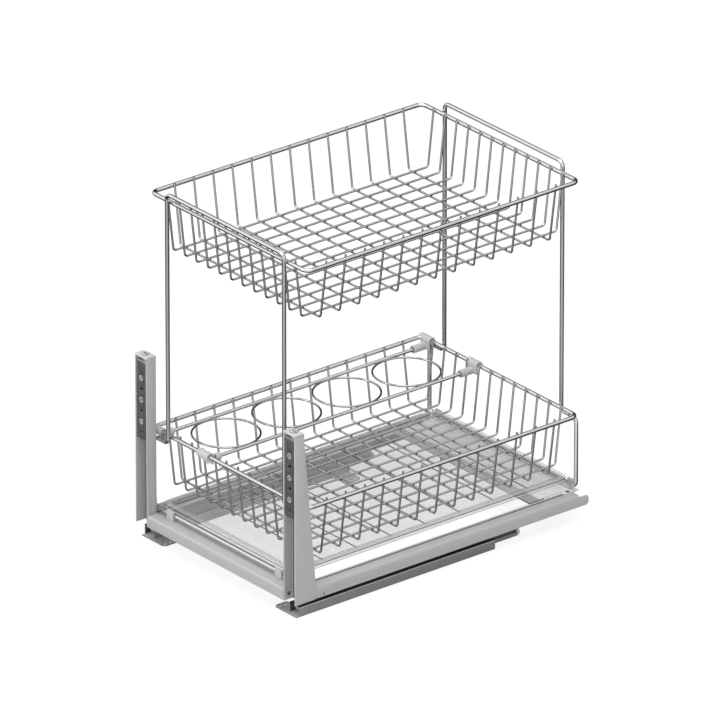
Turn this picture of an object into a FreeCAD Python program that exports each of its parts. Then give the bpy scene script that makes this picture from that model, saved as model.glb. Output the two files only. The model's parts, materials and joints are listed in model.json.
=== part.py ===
import FreeCAD, Part
import math
import os
from FreeCAD import Vector

# A pull-out pantry unit: two wire baskets on two bent support wires, a steel base frame
# on full-extension floor slides, a clear drip tray, a bottle rack and two door uprights.
# Millimetres. +Y points into the cabinet, +Z up; the origin is on the cabinet floor,
# midway between the sides and between the front and the rear of the base frame.

# Base frame
FRAME_WIDTH = 339.0
FRAME_DEPTH = 508.0
FRAME_BOTTOM = 21.0
FRAME_HEIGHT = 17.0
SHEET = 1.5
FRAME_BEND = 3.0
FLANGE_WIDTH = 16.5
FLANGE_STEP = 2.0
STRIP_WIDTH = 8.0
FLANGE_SETBACK = 16.0
TONGUE_RADIUS = 5.0
CROSSBAR_DEPTH = 36.0
CROSSBAR_LIP = 10.0
REAR_PLATE_DEPTH = 60.0
REAR_PLATE_SKIRT = 12.0
REAR_PLATE_SETBACK = 4.0
REAR_PLATE_SIDE_GAP = 1.5
REAR_EAR_DEPTH = 24.0
REAR_BAR_DEPTH = 26.0
REAR_BAR_REACH = 18.0
REAR_BAR_LEG = 10.0
RIVET_RADIUS = 2.0
RIVET_HEAD_RADIUS = 2.9
RIVET_HEAD = 0.8
RIVET_CROWN = 0.5
SERVICE_HOLE_RADIUS = 1.6

# Door uprights
UPRIGHT_WIDTH = 25.0
UPRIGHT_DEPTH = 16.0
UPRIGHT_TOP = 267.5
GUSSET_DEPTH = 35.0
GUSSET_STRAIGHT = 25.0
GUSSET_TOP_GAP = 8.0
CAP_THICKNESS = 3.0
CAP_EDGE = 1.0
CAP_PLUG = 3.0
CAP_PLUG_REACH = 4.0
DOOR_PLATE_LENGTH = 114.0
DOOR_PLATE_DROP = 6.5
DOOR_PLATE_SHEET = 1.5
DOOR_PLATE_RETURN = 6.0
DOOR_PLATE_SIDE_GAP = 1.2
DOOR_PLATE_SETBACK = 1.2
HOLE_PITCH = 32.0
HOLE_COUNT = 3
FIRST_HOLE_DROP = 24.0
DOOR_HOLE_RADIUS = 2.7
NUT_FLANGE_RADIUS = 4.3
NUT_FLANGE = 0.8
NUT_BODY_RADIUS = 3.6
NUT_LENGTH = 6.0
SLOT_LENGTH = 6.0
SLOT_HEIGHT = 3.2
ADJUSTER_HEAD_RADIUS = 5.5
ADJUSTER_HEAD = 1.4
ADJUSTER_SHANK_RADIUS = 2.0
ADJUSTER_LENGTH = 18.0
ADJUSTER_RECESS = 0.8
ADJUSTER_SLOT_WIDTH = 1.2
ADJUSTER_SLOT_LENGTH = 7.8

# Floor slides
SLIDE_OFFSET = 14.0
CABINET_RAIL_LENGTH = 342.0
CABINET_RAIL_WIDTH = 21.0
CABINET_RAIL_HEIGHT = 15.5
CABINET_RAIL_SETBACK = 6.0
CABINET_WALL_SETBACK = 5.0
MIDDLE_RAIL_LENGTH = 375.0
MIDDLE_RAIL_GAP = 0.5
MIDDLE_WEB = 1.5
MIDDLE_HEAD = 6.0
DRAWER_RAIL_LENGTH = FRAME_DEPTH - FLANGE_SETBACK
DRAWER_RAIL_WIDTH = 17.0
DRAWER_RAIL_HEIGHT = 14.0
BALL_RADIUS = 2.0
BALL_GAP = 0.05
LOWER_CAGE_LENGTH = 150.0
LOWER_CAGE_START = 116.0
UPPER_CAGE_LENGTH = 240.0
UPPER_CAGE_START = 137.0
BALL_PITCH = 22.0
CAGE_SHEET = 0.9
CAGE_GAP = 0.6
CAGE_FLOOR_GAP = 2.0
BUFFER_LENGTH = 5.0
BUFFER_WIDTH = 7.8
BUFFER_BEND = 3.0
BUFFER_HEIGHT = 9.0
FOOT_WIDTH = 48.0
FOOT_DEPTH = 22.0
FOOT_CHAMFER = 4.0
FOOT_HOLE_RADIUS = 2.3
FOOT_HOLE_INSET = 6.0
FOOT_HOLE_SPACING = 9.0

# Support wires
SUPPORT_WIRE = 6.0
SUPPORT_INSET = 45.1
SUPPORT_SPACING = FRAME_WIDTH - 2 * SUPPORT_INSET
SUPPORT_FOOT_INSET = 13.5
SUPPORT_FOOT_SPACING = FRAME_WIDTH - 2 * SUPPORT_FOOT_INSET
SUPPORT_RISE = 16.0
SUPPORT_JOG_DROP = 8.0
SUPPORT_BOTTOM = 45.0
SUPPORT_BEND = 8.0
SUPPORT_TOP_BEND = 9.0
CLIP_WIDTH = 14.0
REAR_CLIP_WIDTH = 10.0
CLIP_WALL = 2.0
CLIP_TOP = 3.6
CLIP_INSET = 40.0
REAR_CLIP_INSET = 15.0

# Baskets
BASKET_SIDE_INSET = 4.0
BASKET_WIDTH = FRAME_WIDTH - 2 * BASKET_SIDE_INSET
BASKET_FRONT_INSET = 25.5
BASKET_REAR_INSET = 17.5
BASKET_LENGTH = FRAME_DEPTH - BASKET_FRONT_INSET - BASKET_REAR_INSET
BASKET_DEPTH = 82.0
UPPER_RIM = 500.0
LOWER_RIM = 155.0
RIM_WIRE = 6.0
RIM_BEND = 10.0
GRID_WIRE = 3.0
GRID_BEND = 5.0
CROSS_WIRE_COUNT = 13
CROSS_END_SPACE = 36.12
CROSS_PITCH = (BASKET_LENGTH - 2 * CROSS_END_SPACE) / (CROSS_WIRE_COUNT - 1)
LONG_WIRE_COUNT = 12
LONG_SIDE_SPACE = 29.65
LONG_PITCH = (BASKET_WIDTH - 2 * LONG_SIDE_SPACE) / (LONG_WIRE_COUNT - 1)
SIDE_TAPER = 12.0
END_TAPER = 9.5
WIRE_TIP = 4.0
WELD_GAP = 0.05
OVERCUT = 1.0

# Bottle rack
RACK_WIRE = 5.0
RACK_WIDTH = 101.2
RACK_INSET = 11.0
RACK_DROP = 9.0
RING_WIRE = 3.0
RING_COUNT = 4
RING_END_SPACE = 76.5
RING_PITCH = (BASKET_LENGTH - 2 * RING_END_SPACE) / (RING_COUNT - 1)
SADDLE_RADIUS = 6.0
SADDLE_LENGTH = 23.0
SADDLE_SKIRT = 4.0
SADDLE_DROP = 12.0
SADDLE_CUT_DROP = 18.0
SADDLE_CLEARANCE = 0.3
SLEEVE_RADIUS = 5.5
SLEEVE_LENGTH = 25.0
SLEEVE_DEPTH = 18.0
SLEEVE_MOUTH_RADIUS = 4.0
SLEEVE_MOUTH_DEPTH = 3.0

# Drip tray
TRAY_SIDE_INSET = 27.0
TRAY_WIDTH = FRAME_WIDTH - 2 * TRAY_SIDE_INSET
TRAY_OVERHANG = 0.8
TRAY_WALL = 2.0
TRAY_HEIGHT = 6.0
TRAY_RIM_WIDTH = 12.0
TRAY_CORNER = 14.0
TRAY_SEAT = 0.3
TRAY_RIB = 0.8
TRAY_RIB_WIDTH = 1.6
TRAY_RIB_PITCH = 59.0
TRAY_RIBS = 7
CLIP_TRAY_GAP = 0.3

# Places worked out from the sizes above
FRAME_TOP = FRAME_BOTTOM + FRAME_HEIGHT
SIDE_X = FRAME_WIDTH / 2
FRONT_Y = -FRAME_DEPTH / 2
REAR_Y = FRAME_DEPTH / 2
UPRIGHT_OUTER_X = SIDE_X + SHEET
UPRIGHT_INNER_X = UPRIGHT_OUTER_X - UPRIGHT_WIDTH
UPRIGHT_BACK_Y = FRONT_Y + UPRIGHT_DEPTH
FLANGE_END_Y = REAR_Y - FLANGE_SETBACK
STRIP_TOP = FRAME_TOP - FLANGE_STEP
SLIDE_X = SIDE_X - SLIDE_OFFSET
CABINET_RAIL_FRONT = FRONT_Y + CABINET_RAIL_SETBACK
MIDDLE_RAIL_FRONT = UPRIGHT_BACK_Y + MIDDLE_RAIL_GAP
DRAWER_RAIL_TOP = STRIP_TOP - SHEET
DRAWER_RAIL_BOTTOM = DRAWER_RAIL_TOP - DRAWER_RAIL_HEIGHT
LOWER_HEAD_WIDTH = CABINET_RAIL_WIDTH - 2 * SHEET - 4 * (BALL_RADIUS + BALL_GAP)
UPPER_HEAD_WIDTH = DRAWER_RAIL_WIDTH - 2 * SHEET - 4 * (BALL_RADIUS + BALL_GAP)
LOWER_CAGE_Z = SHEET + CAGE_FLOOR_GAP
LOWER_HEAD_Z = LOWER_CAGE_Z + CAGE_SHEET + CAGE_GAP
UPPER_HEAD_Z = DRAWER_RAIL_TOP - SHEET - CAGE_GAP - CAGE_SHEET - CAGE_GAP
LOWER_BALL_Z = LOWER_HEAD_Z + MIDDLE_HEAD / 2
UPPER_BALL_Z = UPPER_HEAD_Z - MIDDLE_HEAD / 2
RIM_RADIUS = RIM_WIRE / 2
SUPPORT_RADIUS = SUPPORT_WIRE / 2
SUPPORT_TOP = UPPER_RIM + SUPPORT_RISE
SUPPORT_JOG = LOWER_RIM - SUPPORT_JOG_DROP
GRID_RADIUS = GRID_WIRE / 2
RACK_RADIUS = RACK_WIRE / 2
RING_RADIUS = RACK_WIDTH / 2 - RACK_RADIUS - RING_WIRE / 2 - WELD_GAP
BASKET_Y = (BASKET_FRONT_INSET - BASKET_REAR_INSET) / 2
RIM_X = BASKET_WIDTH / 2
RIM_Y = BASKET_LENGTH / 2
SUPPORT_Y = RIM_Y + RIM_RADIUS + SUPPORT_RADIUS + WELD_GAP
RACK_LEFT_X = -RIM_X + RACK_INSET
RACK_RIGHT_X = RACK_LEFT_X + RACK_WIDTH
RACK_Z = LOWER_RIM - RACK_DROP
TRAY_BOTTOM = SUPPORT_BOTTOM + SUPPORT_RADIUS + TRAY_SEAT
TRAY_HALF_LENGTH = SUPPORT_Y + TRAY_OVERHANG
DOOR_PLATE_TOP = UPRIGHT_TOP - DOOR_PLATE_DROP
DOOR_PLATE_FRONT = FRONT_Y + DOOR_PLATE_SETBACK
DOOR_PLATE_X = (UPRIGHT_INNER_X + UPRIGHT_OUTER_X) / 2
ADJUSTER_Y = FRONT_Y + UPRIGHT_DEPTH / 2
REAR_PLATE_HALF = SIDE_X - FLANGE_WIDTH - STRIP_WIDTH - REAR_PLATE_SIDE_GAP
REAR_PLATE_TOP = STRIP_TOP + SHEET
REAR_PLATE_BACK = REAR_Y - REAR_PLATE_SETBACK
REAR_PLATE_FRONT = REAR_PLATE_BACK - REAR_PLATE_DEPTH
SIDES = {"left": -1, "right": 1}


# Helpers

def block(x0, x1, y0, y1, z0, z1):
    """Box between two corners, given in any order."""
    low = Vector(min(x0, x1), min(y0, y1), min(z0, z1))
    return Part.makeBox(abs(x1 - x0), abs(y1 - y0), abs(z1 - z0), low)


def cylinder(centre, direction, radius, length):
    return Part.makeCylinder(radius, length, centre, direction)


def prism(points, direction):
    """Straight-sided solid on a closed outline of points."""
    outline = Part.makePolygon(list(points) + [points[0]])
    return Part.Face(outline).extrude(direction)


def rounded_rectangle(half_x, half_y, radius, centre_y, z, height):
    """Upright block with four rounded corners, centred on x = 0."""
    solid = block(-half_x, half_x, centre_y - half_y, centre_y + half_y, z, z + height)
    corners = [edge for edge in solid.Edges if edge_is_upright(edge)]
    return solid.makeFillet(radius, corners)


def edge_is_upright(edge):
    first, last = edge.Vertexes[0].Point, edge.Vertexes[-1].Point
    return abs(first.x - last.x) < 1e-6 and abs(first.y - last.y) < 1e-6


def mirrored(shape):
    """The same piece for the other side of the unit."""
    return shape.mirror(Vector(0, 0, 0), Vector(1, 0, 0))


def on_side(shape, side):
    """A piece drawn on the right, placed on the named side."""
    return shape if SIDES[side] > 0 else mirrored(shape)


def wire_face(centre, direction, radius):
    return Part.Face(Part.Wire(Part.Circle(centre, direction, radius).toShape()))


def bent_wire(points, radius, bends, closed=False):
    """Round wire along straight runs, each inner corner bent to its own radius."""
    count = len(points)
    corners = range(count) if closed else range(1, count - 1)
    trims = [0.0] * count
    pieces = []
    for i in corners:
        before = (points[i] - points[i - 1]).normalize()
        after = (points[(i + 1) % count] - points[i]).normalize()
        turn = before.getAngle(after)
        trims[i] = bends[i] * math.tan(turn / 2)
        axis = before.cross(after).normalize()
        start = points[i] - before * trims[i]
        centre = start + axis.cross(before) * bends[i]
        bend = wire_face(start, before, radius).revolve(centre, axis, math.degrees(turn))
        pieces.append(bend)
    for i in range(count if closed else count - 1):
        after = (i + 1) % count
        along = (points[after] - points[i]).normalize()
        start = points[i] + along * trims[i]
        run = (points[after] - points[i]).Length - trims[i] - trims[after]
        pieces.append(wire_face(start, along, radius).extrude(along * run))
    return pieces[0].multiFuse(pieces[1:]).Solids[0]


def spread(count, pitch):
    """Places of evenly pitched copies about the middle."""
    return [(i - (count - 1) / 2) * pitch for i in range(count)]


def group(solids):
    return Part.makeCompound(list(solids))


# Base frame

def side_rail():
    """Rolled side rail: an upright web, a rounded shoulder and a stepped top flange."""
    step_x = SIDE_X - FLANGE_WIDTH
    strip_x = step_x - STRIP_WIDTH
    inner = SIDE_X - SHEET
    shoulder = FRAME_BEND * (1 - math.sqrt(0.5))
    inner_bend = FRAME_BEND - SHEET
    inner_shoulder = SHEET + inner_bend * (1 - math.sqrt(0.5))
    start = UPRIGHT_BACK_Y

    def at(x, z):
        return Vector(x, start, z)

    edges = [
        Part.LineSegment(at(inner, FRAME_BOTTOM), at(SIDE_X, FRAME_BOTTOM)),
        Part.LineSegment(at(SIDE_X, FRAME_BOTTOM), at(SIDE_X, FRAME_TOP - FRAME_BEND)),
        Part.Arc(at(SIDE_X, FRAME_TOP - FRAME_BEND),
                 at(SIDE_X - shoulder, FRAME_TOP - shoulder),
                 at(SIDE_X - FRAME_BEND, FRAME_TOP)),
        Part.LineSegment(at(SIDE_X - FRAME_BEND, FRAME_TOP), at(step_x + SHEET, FRAME_TOP)),
        Part.LineSegment(at(step_x + SHEET, FRAME_TOP), at(step_x, STRIP_TOP)),
        Part.LineSegment(at(step_x, STRIP_TOP), at(strip_x, STRIP_TOP)),
        Part.LineSegment(at(strip_x, STRIP_TOP), at(strip_x, STRIP_TOP - SHEET)),
        Part.LineSegment(at(strip_x, STRIP_TOP - SHEET), at(step_x + SHEET, STRIP_TOP - SHEET)),
        Part.LineSegment(at(step_x + SHEET, STRIP_TOP - SHEET),
                         at(step_x + 2 * SHEET, FRAME_TOP - SHEET)),
        Part.LineSegment(at(step_x + 2 * SHEET, FRAME_TOP - SHEET),
                         at(inner - inner_bend, FRAME_TOP - SHEET)),
        Part.Arc(at(inner - inner_bend, FRAME_TOP - SHEET),
                 at(SIDE_X - inner_shoulder, FRAME_TOP - inner_shoulder),
                 at(inner, FRAME_TOP - SHEET - inner_bend)),
        Part.LineSegment(at(inner, FRAME_TOP - SHEET - inner_bend), at(inner, FRAME_BOTTOM)),
    ]
    outline = Part.Wire([edge.toShape() for edge in edges])
    rail = Part.Face(outline).extrude(Vector(0, REAR_Y - start, 0))
    rail = rail.cut(block(strip_x - OVERCUT, inner, FLANGE_END_Y, REAR_Y + OVERCUT,
                          FRAME_BOTTOM, FRAME_TOP + OVERCUT))
    rail = rail.cut(block(inner, SIDE_X + OVERCUT, FLANGE_END_Y, REAR_Y + OVERCUT,
                          FRAME_TOP - FRAME_BEND, FRAME_TOP + OVERCUT))
    rail = rail.cut(block(strip_x - OVERCUT, UPRIGHT_INNER_X + WELD_GAP, start - OVERCUT,
                          FRONT_Y + CROSSBAR_DEPTH + WELD_GAP, FRAME_BOTTOM, FRAME_TOP + OVERCUT))
    rail = round_tongue(rail)
    hole_y = start + GUSSET_DEPTH
    rail = rail.cut(cylinder(Vector(inner - OVERCUT, hole_y, FRAME_BOTTOM + FRAME_BEND),
                             Vector(1, 0, 0), SERVICE_HOLE_RADIUS, SHEET + 2 * OVERCUT))
    for y in rail_rivet_places():
        rail = rail.cut(cylinder(Vector(rivet_x(), y, STRIP_TOP - SHEET - OVERCUT),
                                 Vector(0, 0, 1), RIVET_RADIUS, SHEET + 2 * OVERCUT))
    return rail


def round_tongue(rail):
    """Rounds the two rear corners of the web."""
    rear = [edge for edge in rail.Edges if lies_across(edge, REAR_Y)]
    return rail.makeFillet(TONGUE_RADIUS, rear)


def lies_across(edge, y):
    """True for a level edge along X at the given place."""
    first, last = edge.Vertexes[0].Point, edge.Vertexes[-1].Point
    across = abs(first.y - last.y) < 1e-6 and abs(first.z - last.z) < 1e-6
    return across and abs(first.y - y) < 1e-6


def rivet_x():
    """Line of the rivets through the flange's lower strip."""
    return SIDE_X - FLANGE_WIDTH - STRIP_WIDTH / 2


def rail_rivet_places():
    """Front rivet of the drawer rail, and the one that also holds the rear plate's ear."""
    front = UPRIGHT_BACK_Y + RIVET_HEAD_RADIUS + SHEET
    rear = FLANGE_END_Y - RIVET_HEAD_RADIUS - SHEET
    return [front, rear]


def front_crossbar():
    """Folded front bar: face, rounded ridge, flat top, rear lip and an end tab each side."""
    bar = block(-UPRIGHT_INNER_X, UPRIGHT_INNER_X, FRONT_Y, FRONT_Y + CROSSBAR_DEPTH,
                FRAME_BOTTOM, FRAME_TOP)
    ridge = [edge for edge in bar.Edges if ridge_edge(edge)]
    bar = bar.makeFillet(FRAME_BEND, ridge)
    inside = block(-UPRIGHT_INNER_X + SHEET, UPRIGHT_INNER_X - SHEET, FRONT_Y + SHEET,
                   FRONT_Y + CROSSBAR_DEPTH - SHEET, FRAME_BOTTOM - OVERCUT, FRAME_TOP - SHEET)
    inner_ridge = [edge for edge in inside.Edges if inner_ridge_edge(edge)]
    inside = inside.makeFillet(FRAME_BEND - SHEET, inner_ridge)
    bar = bar.cut(inside)
    bar = bar.cut(block(-UPRIGHT_INNER_X - OVERCUT, UPRIGHT_INNER_X + OVERCUT,
                        FRONT_Y + CROSSBAR_DEPTH - SHEET - OVERCUT, FRONT_Y + CROSSBAR_DEPTH + OVERCUT,
                        FRAME_BOTTOM - OVERCUT, FRAME_TOP - CROSSBAR_LIP))
    for side in SIDES.values():
        start = Vector(side * (UPRIGHT_INNER_X - SHEET - OVERCUT), ADJUSTER_Y, tab_rivet_z())
        bar = bar.cut(cylinder(start, Vector(side, 0, 0), RIVET_RADIUS, SHEET + 2 * OVERCUT))
    return bar


def ridge_edge(edge):
    first, last = edge.Vertexes[0].Point, edge.Vertexes[-1].Point
    top = abs(first.z - FRAME_TOP) < 1e-6 and abs(last.z - FRAME_TOP) < 1e-6
    return top and abs(first.y - FRONT_Y) < 1e-6 and abs(last.y - FRONT_Y) < 1e-6


def inner_ridge_edge(edge):
    first, last = edge.Vertexes[0].Point, edge.Vertexes[-1].Point
    height, place = FRAME_TOP - SHEET, FRONT_Y + SHEET
    top = abs(first.z - height) < 1e-6 and abs(last.z - height) < 1e-6
    return top and abs(first.y - place) < 1e-6 and abs(last.y - place) < 1e-6


def tab_rivet_z():
    return FRAME_BOTTOM + FRAME_HEIGHT / 2


def rear_cross_plate():
    """Flat rear plate under the rear support wire; its ears lie on the rails' strips."""
    ear = SIDE_X - FLANGE_WIDTH - WELD_GAP
    half, top, under = REAR_PLATE_HALF, REAR_PLATE_TOP, STRIP_TOP
    plate = block(-half, half, REAR_PLATE_FRONT, REAR_PLATE_BACK, under, top)
    ears = block(-ear, ear, REAR_PLATE_BACK - REAR_EAR_DEPTH, REAR_PLATE_BACK, under, top)
    skirt = block(-half, half, REAR_PLATE_BACK - SHEET, REAR_PLATE_BACK,
                  top - REAR_PLATE_SKIRT, under)
    plate = plate.multiFuse([ears, skirt]).removeSplitter().Solids[0]
    for side in SIDES.values():
        plate = plate.cut(cylinder(Vector(side * rivet_x(), rail_rivet_places()[-1], under - OVERCUT),
                                   Vector(0, 0, 1), RIVET_RADIUS, SHEET + 2 * OVERCUT))
    return plate


def rear_stiffener():
    """Angle bar under the front edge of the rear plate."""
    half, top = REAR_PLATE_HALF, STRIP_TOP
    front = REAR_PLATE_FRONT - REAR_BAR_REACH
    back = front + REAR_BAR_DEPTH
    flange = block(-half, half, front, back, top - SHEET, top)
    leg = block(-half, half, back - SHEET, back, top - REAR_BAR_LEG, top - SHEET)
    return flange.fuse(leg).removeSplitter().Solids[0]


def rivet(seat, direction, grip):
    """Round-headed rivet: its head stands on the seat and its shank fills the hole."""
    shank = cylinder(seat - direction * grip, direction, RIVET_RADIUS - WELD_GAP, grip)
    head = cylinder(seat, direction, RIVET_HEAD_RADIUS, RIVET_HEAD)
    crown = [edge for edge in head.Edges if edge_ring_above(edge, seat, direction)]
    head = head.makeFillet(RIVET_CROWN, crown)
    return shank.fuse(head).Solids[0]


def edge_ring_above(edge, seat, direction):
    """True for the full circle on the free face of a head."""
    if len(edge.Vertexes) > 1:
        return False
    rise = (edge.Vertexes[0].Point - seat).dot(direction)
    return rise > RIVET_HEAD / 2 and isinstance(edge.Curve, Part.Circle)


def frame_rivets():
    """Rivets of the rear plate, the drawer rails and the crossbar's end tabs."""
    rivets = []
    up = Vector(0, 0, 1)
    front, rear = rail_rivet_places()
    for side in SIDES.values():
        x = side * rivet_x()
        rivets.append(rivet(Vector(x, front, STRIP_TOP), up, 2 * SHEET))
        rivets.append(rivet(Vector(x, rear, REAR_PLATE_TOP), up, 3 * SHEET))
        seat = Vector(side * (UPRIGHT_INNER_X + SHEET), ADJUSTER_Y, tab_rivet_z())
        rivets.append(rivet(seat, Vector(side, 0, 0), 2 * SHEET))
    return group(rivets)


# Door uprights

def door_upright():
    """Channel open to the front; its outer wall widens downwards into a gusset."""
    bottom = FRAME_BOTTOM
    taper_top = UPRIGHT_TOP - GUSSET_TOP_GAP
    gusset_y = FRONT_Y + GUSSET_DEPTH
    outline = [
        Vector(SIDE_X, FRONT_Y, bottom),
        Vector(SIDE_X, gusset_y, bottom),
        Vector(SIDE_X, gusset_y, bottom + GUSSET_STRAIGHT),
        Vector(SIDE_X, UPRIGHT_BACK_Y, taper_top),
        Vector(SIDE_X, UPRIGHT_BACK_Y, UPRIGHT_TOP),
        Vector(SIDE_X, FRONT_Y, UPRIGHT_TOP),
    ]
    outer = prism(outline, Vector(SHEET, 0, 0))
    inner = block(UPRIGHT_INNER_X, UPRIGHT_INNER_X + SHEET, FRONT_Y, UPRIGHT_BACK_Y,
                  bottom, UPRIGHT_TOP)
    back = block(UPRIGHT_INNER_X + SHEET, SIDE_X, UPRIGHT_BACK_Y - SHEET, UPRIGHT_BACK_Y,
                 bottom, UPRIGHT_TOP)
    channel = outer.multiFuse([inner, back]).removeSplitter().Solids[0]
    hole = cylinder(Vector(UPRIGHT_INNER_X - OVERCUT, ADJUSTER_Y, tab_rivet_z()),
                    Vector(1, 0, 0), RIVET_RADIUS, SHEET + 2 * OVERCUT)
    return channel.cut(hole)


def door_plate_half_width():
    return UPRIGHT_WIDTH / 2 - SHEET - DOOR_PLATE_SIDE_GAP


def hole_heights():
    first = DOOR_PLATE_TOP - FIRST_HOLE_DROP
    return [first - i * HOLE_PITCH for i in range(HOLE_COUNT)]


def door_plate():
    """Perforated plate that the door is screwed to; it slides up and down in the channel."""
    half = door_plate_half_width()
    low, high = DOOR_PLATE_TOP - DOOR_PLATE_LENGTH, DOOR_PLATE_TOP
    front, sheet = DOOR_PLATE_FRONT, DOOR_PLATE_SHEET
    x0, x1 = DOOR_PLATE_X - half, DOOR_PLATE_X + half
    face = block(x0, x1, front, front + sheet, low, high)
    sides = [block(x0, x0 + sheet, front, front + DOOR_PLATE_RETURN, low, high),
             block(x1 - sheet, x1, front, front + DOOR_PLATE_RETURN, low, high)]
    tab = block(x0, x1, front, UPRIGHT_BACK_Y - SHEET - DOOR_PLATE_SIDE_GAP, high - sheet, high)
    plate = face.multiFuse(sides + [tab]).removeSplitter().Solids[0]
    back = Vector(0, 1, 0)
    for z in hole_heights():
        plate = plate.cut(cylinder(Vector(DOOR_PLATE_X, front - OVERCUT, z), back,
                                   NUT_BODY_RADIUS + WELD_GAP, sheet + 2 * OVERCUT))
        plate = plate.cut(slot_cutter(z - HOLE_PITCH / 2))
    screw = cylinder(Vector(DOOR_PLATE_X, ADJUSTER_Y, high - sheet - OVERCUT), Vector(0, 0, 1),
                     ADJUSTER_SHANK_RADIUS + WELD_GAP, sheet + 2 * OVERCUT)
    return plate.cut(screw)


def slot_cutter(z):
    """Cutter for one level slot between two round holes."""
    half = (SLOT_LENGTH - SLOT_HEIGHT) / 2
    front = DOOR_PLATE_FRONT - OVERCUT
    depth = DOOR_PLATE_SHEET + 2 * OVERCUT
    middle = block(DOOR_PLATE_X - half, DOOR_PLATE_X + half, front, front + depth,
                   z - SLOT_HEIGHT / 2, z + SLOT_HEIGHT / 2)
    ends = [cylinder(Vector(DOOR_PLATE_X + side * half, front, z), Vector(0, 1, 0),
                     SLOT_HEIGHT / 2, depth) for side in SIDES.values()]
    return middle.multiFuse(ends)


def door_plate_nuts():
    """Threaded rivet nuts in the round holes."""
    nuts = []
    back = Vector(0, 1, 0)
    for z in hole_heights():
        start = Vector(DOOR_PLATE_X, DOOR_PLATE_FRONT - NUT_FLANGE, z)
        body = cylinder(start, back, NUT_BODY_RADIUS, NUT_LENGTH)
        flange = cylinder(start, back, NUT_FLANGE_RADIUS, NUT_FLANGE)
        bore = cylinder(start - back * OVERCUT, back, DOOR_HOLE_RADIUS, NUT_LENGTH + 2 * OVERCUT)
        nuts.append(body.fuse(flange).cut(bore).Solids[0])
    return group(nuts)


def upright_cap():
    """Moulded cap that closes the top of the channel and carries the adjuster."""
    lid = block(UPRIGHT_INNER_X, UPRIGHT_OUTER_X, FRONT_Y, UPRIGHT_BACK_Y,
                UPRIGHT_TOP, UPRIGHT_TOP + CAP_THICKNESS)
    lid = lid.makeFillet(CAP_EDGE, lid.Faces[-1].Edges)
    plug = block(UPRIGHT_INNER_X + SHEET, SIDE_X, ADJUSTER_Y - CAP_PLUG_REACH,
                 UPRIGHT_BACK_Y - SHEET, UPRIGHT_TOP - CAP_PLUG, UPRIGHT_TOP)
    bore = cylinder(Vector(DOOR_PLATE_X, ADJUSTER_Y, UPRIGHT_TOP - CAP_PLUG - OVERCUT),
                    Vector(0, 0, 1), ADJUSTER_SHANK_RADIUS + WELD_GAP,
                    CAP_PLUG + CAP_THICKNESS + 2 * OVERCUT)
    return lid.fuse(plug).removeSplitter().Solids[0].cut(bore)


def adjuster_screw():
    """Slotted screw that raises and lowers the door plate."""
    seat = Vector(DOOR_PLATE_X, ADJUSTER_Y, UPRIGHT_TOP + CAP_THICKNESS)
    up = Vector(0, 0, 1)
    head = cylinder(seat, up, ADJUSTER_HEAD_RADIUS, ADJUSTER_HEAD)
    shank = cylinder(seat - up * ADJUSTER_LENGTH, up, ADJUSTER_SHANK_RADIUS, ADJUSTER_LENGTH)
    screw = head.fuse(shank).Solids[0]
    half = ADJUSTER_SLOT_LENGTH / 2
    top = seat.z + ADJUSTER_HEAD
    groove = block(seat.x - half, seat.x + half, seat.y - ADJUSTER_SLOT_WIDTH / 2,
                   seat.y + ADJUSTER_SLOT_WIDTH / 2, top - ADJUSTER_RECESS, top + OVERCUT)
    return screw.cut(groove)


# Floor slides

def cabinet_rail():
    """Fixed rail: a channel open at the top on two screw feet that reach inwards."""
    half = CABINET_RAIL_WIDTH / 2
    x0, x1 = SLIDE_X - half, SLIDE_X + half
    front, back = CABINET_RAIL_FRONT, CABINET_RAIL_FRONT + CABINET_RAIL_LENGTH
    rail = block(x0, x1, front, back, 0, CABINET_RAIL_HEIGHT)
    rail = rail.cut(block(x0 + SHEET, x1 - SHEET, front - OVERCUT, back + OVERCUT, SHEET,
                          CABINET_RAIL_HEIGHT + OVERCUT))
    rail = rail.cut(block(x0 - OVERCUT, x1 + OVERCUT, front - OVERCUT,
                          front + CABINET_WALL_SETBACK, SHEET, CABINET_RAIL_HEIGHT + OVERCUT))
    feet = [foot(x1, front, 1), foot(x1, back, -1)]
    return rail.multiFuse(feet).removeSplitter().Solids[0]


def foot(x1, edge_y, inward):
    """Screw foot under one end of the rail, with two holes and a cut corner."""
    x0 = x1 - FOOT_WIDTH
    depth = inward * FOOT_DEPTH
    cut = inward * FOOT_CHAMFER
    outline = [Vector(x1, edge_y, 0), Vector(x0 + FOOT_CHAMFER, edge_y, 0),
               Vector(x0, edge_y + cut, 0), Vector(x0, edge_y + depth, 0),
               Vector(x1, edge_y + depth, 0)]
    plate = prism(outline, Vector(0, 0, SHEET))
    hole_x = x0 + FOOT_HOLE_INSET
    for hole_y in foot_hole_places(edge_y, inward):
        plate = plate.cut(cylinder(Vector(hole_x, hole_y, -1), Vector(0, 0, 1),
                                   FOOT_HOLE_RADIUS, SHEET + 2 * OVERCUT))
    return plate


def foot_hole_places(edge_y, inward):
    first = edge_y + inward * FOOT_HOLE_INSET
    return [first, first + inward * FOOT_HOLE_SPACING]


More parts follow.
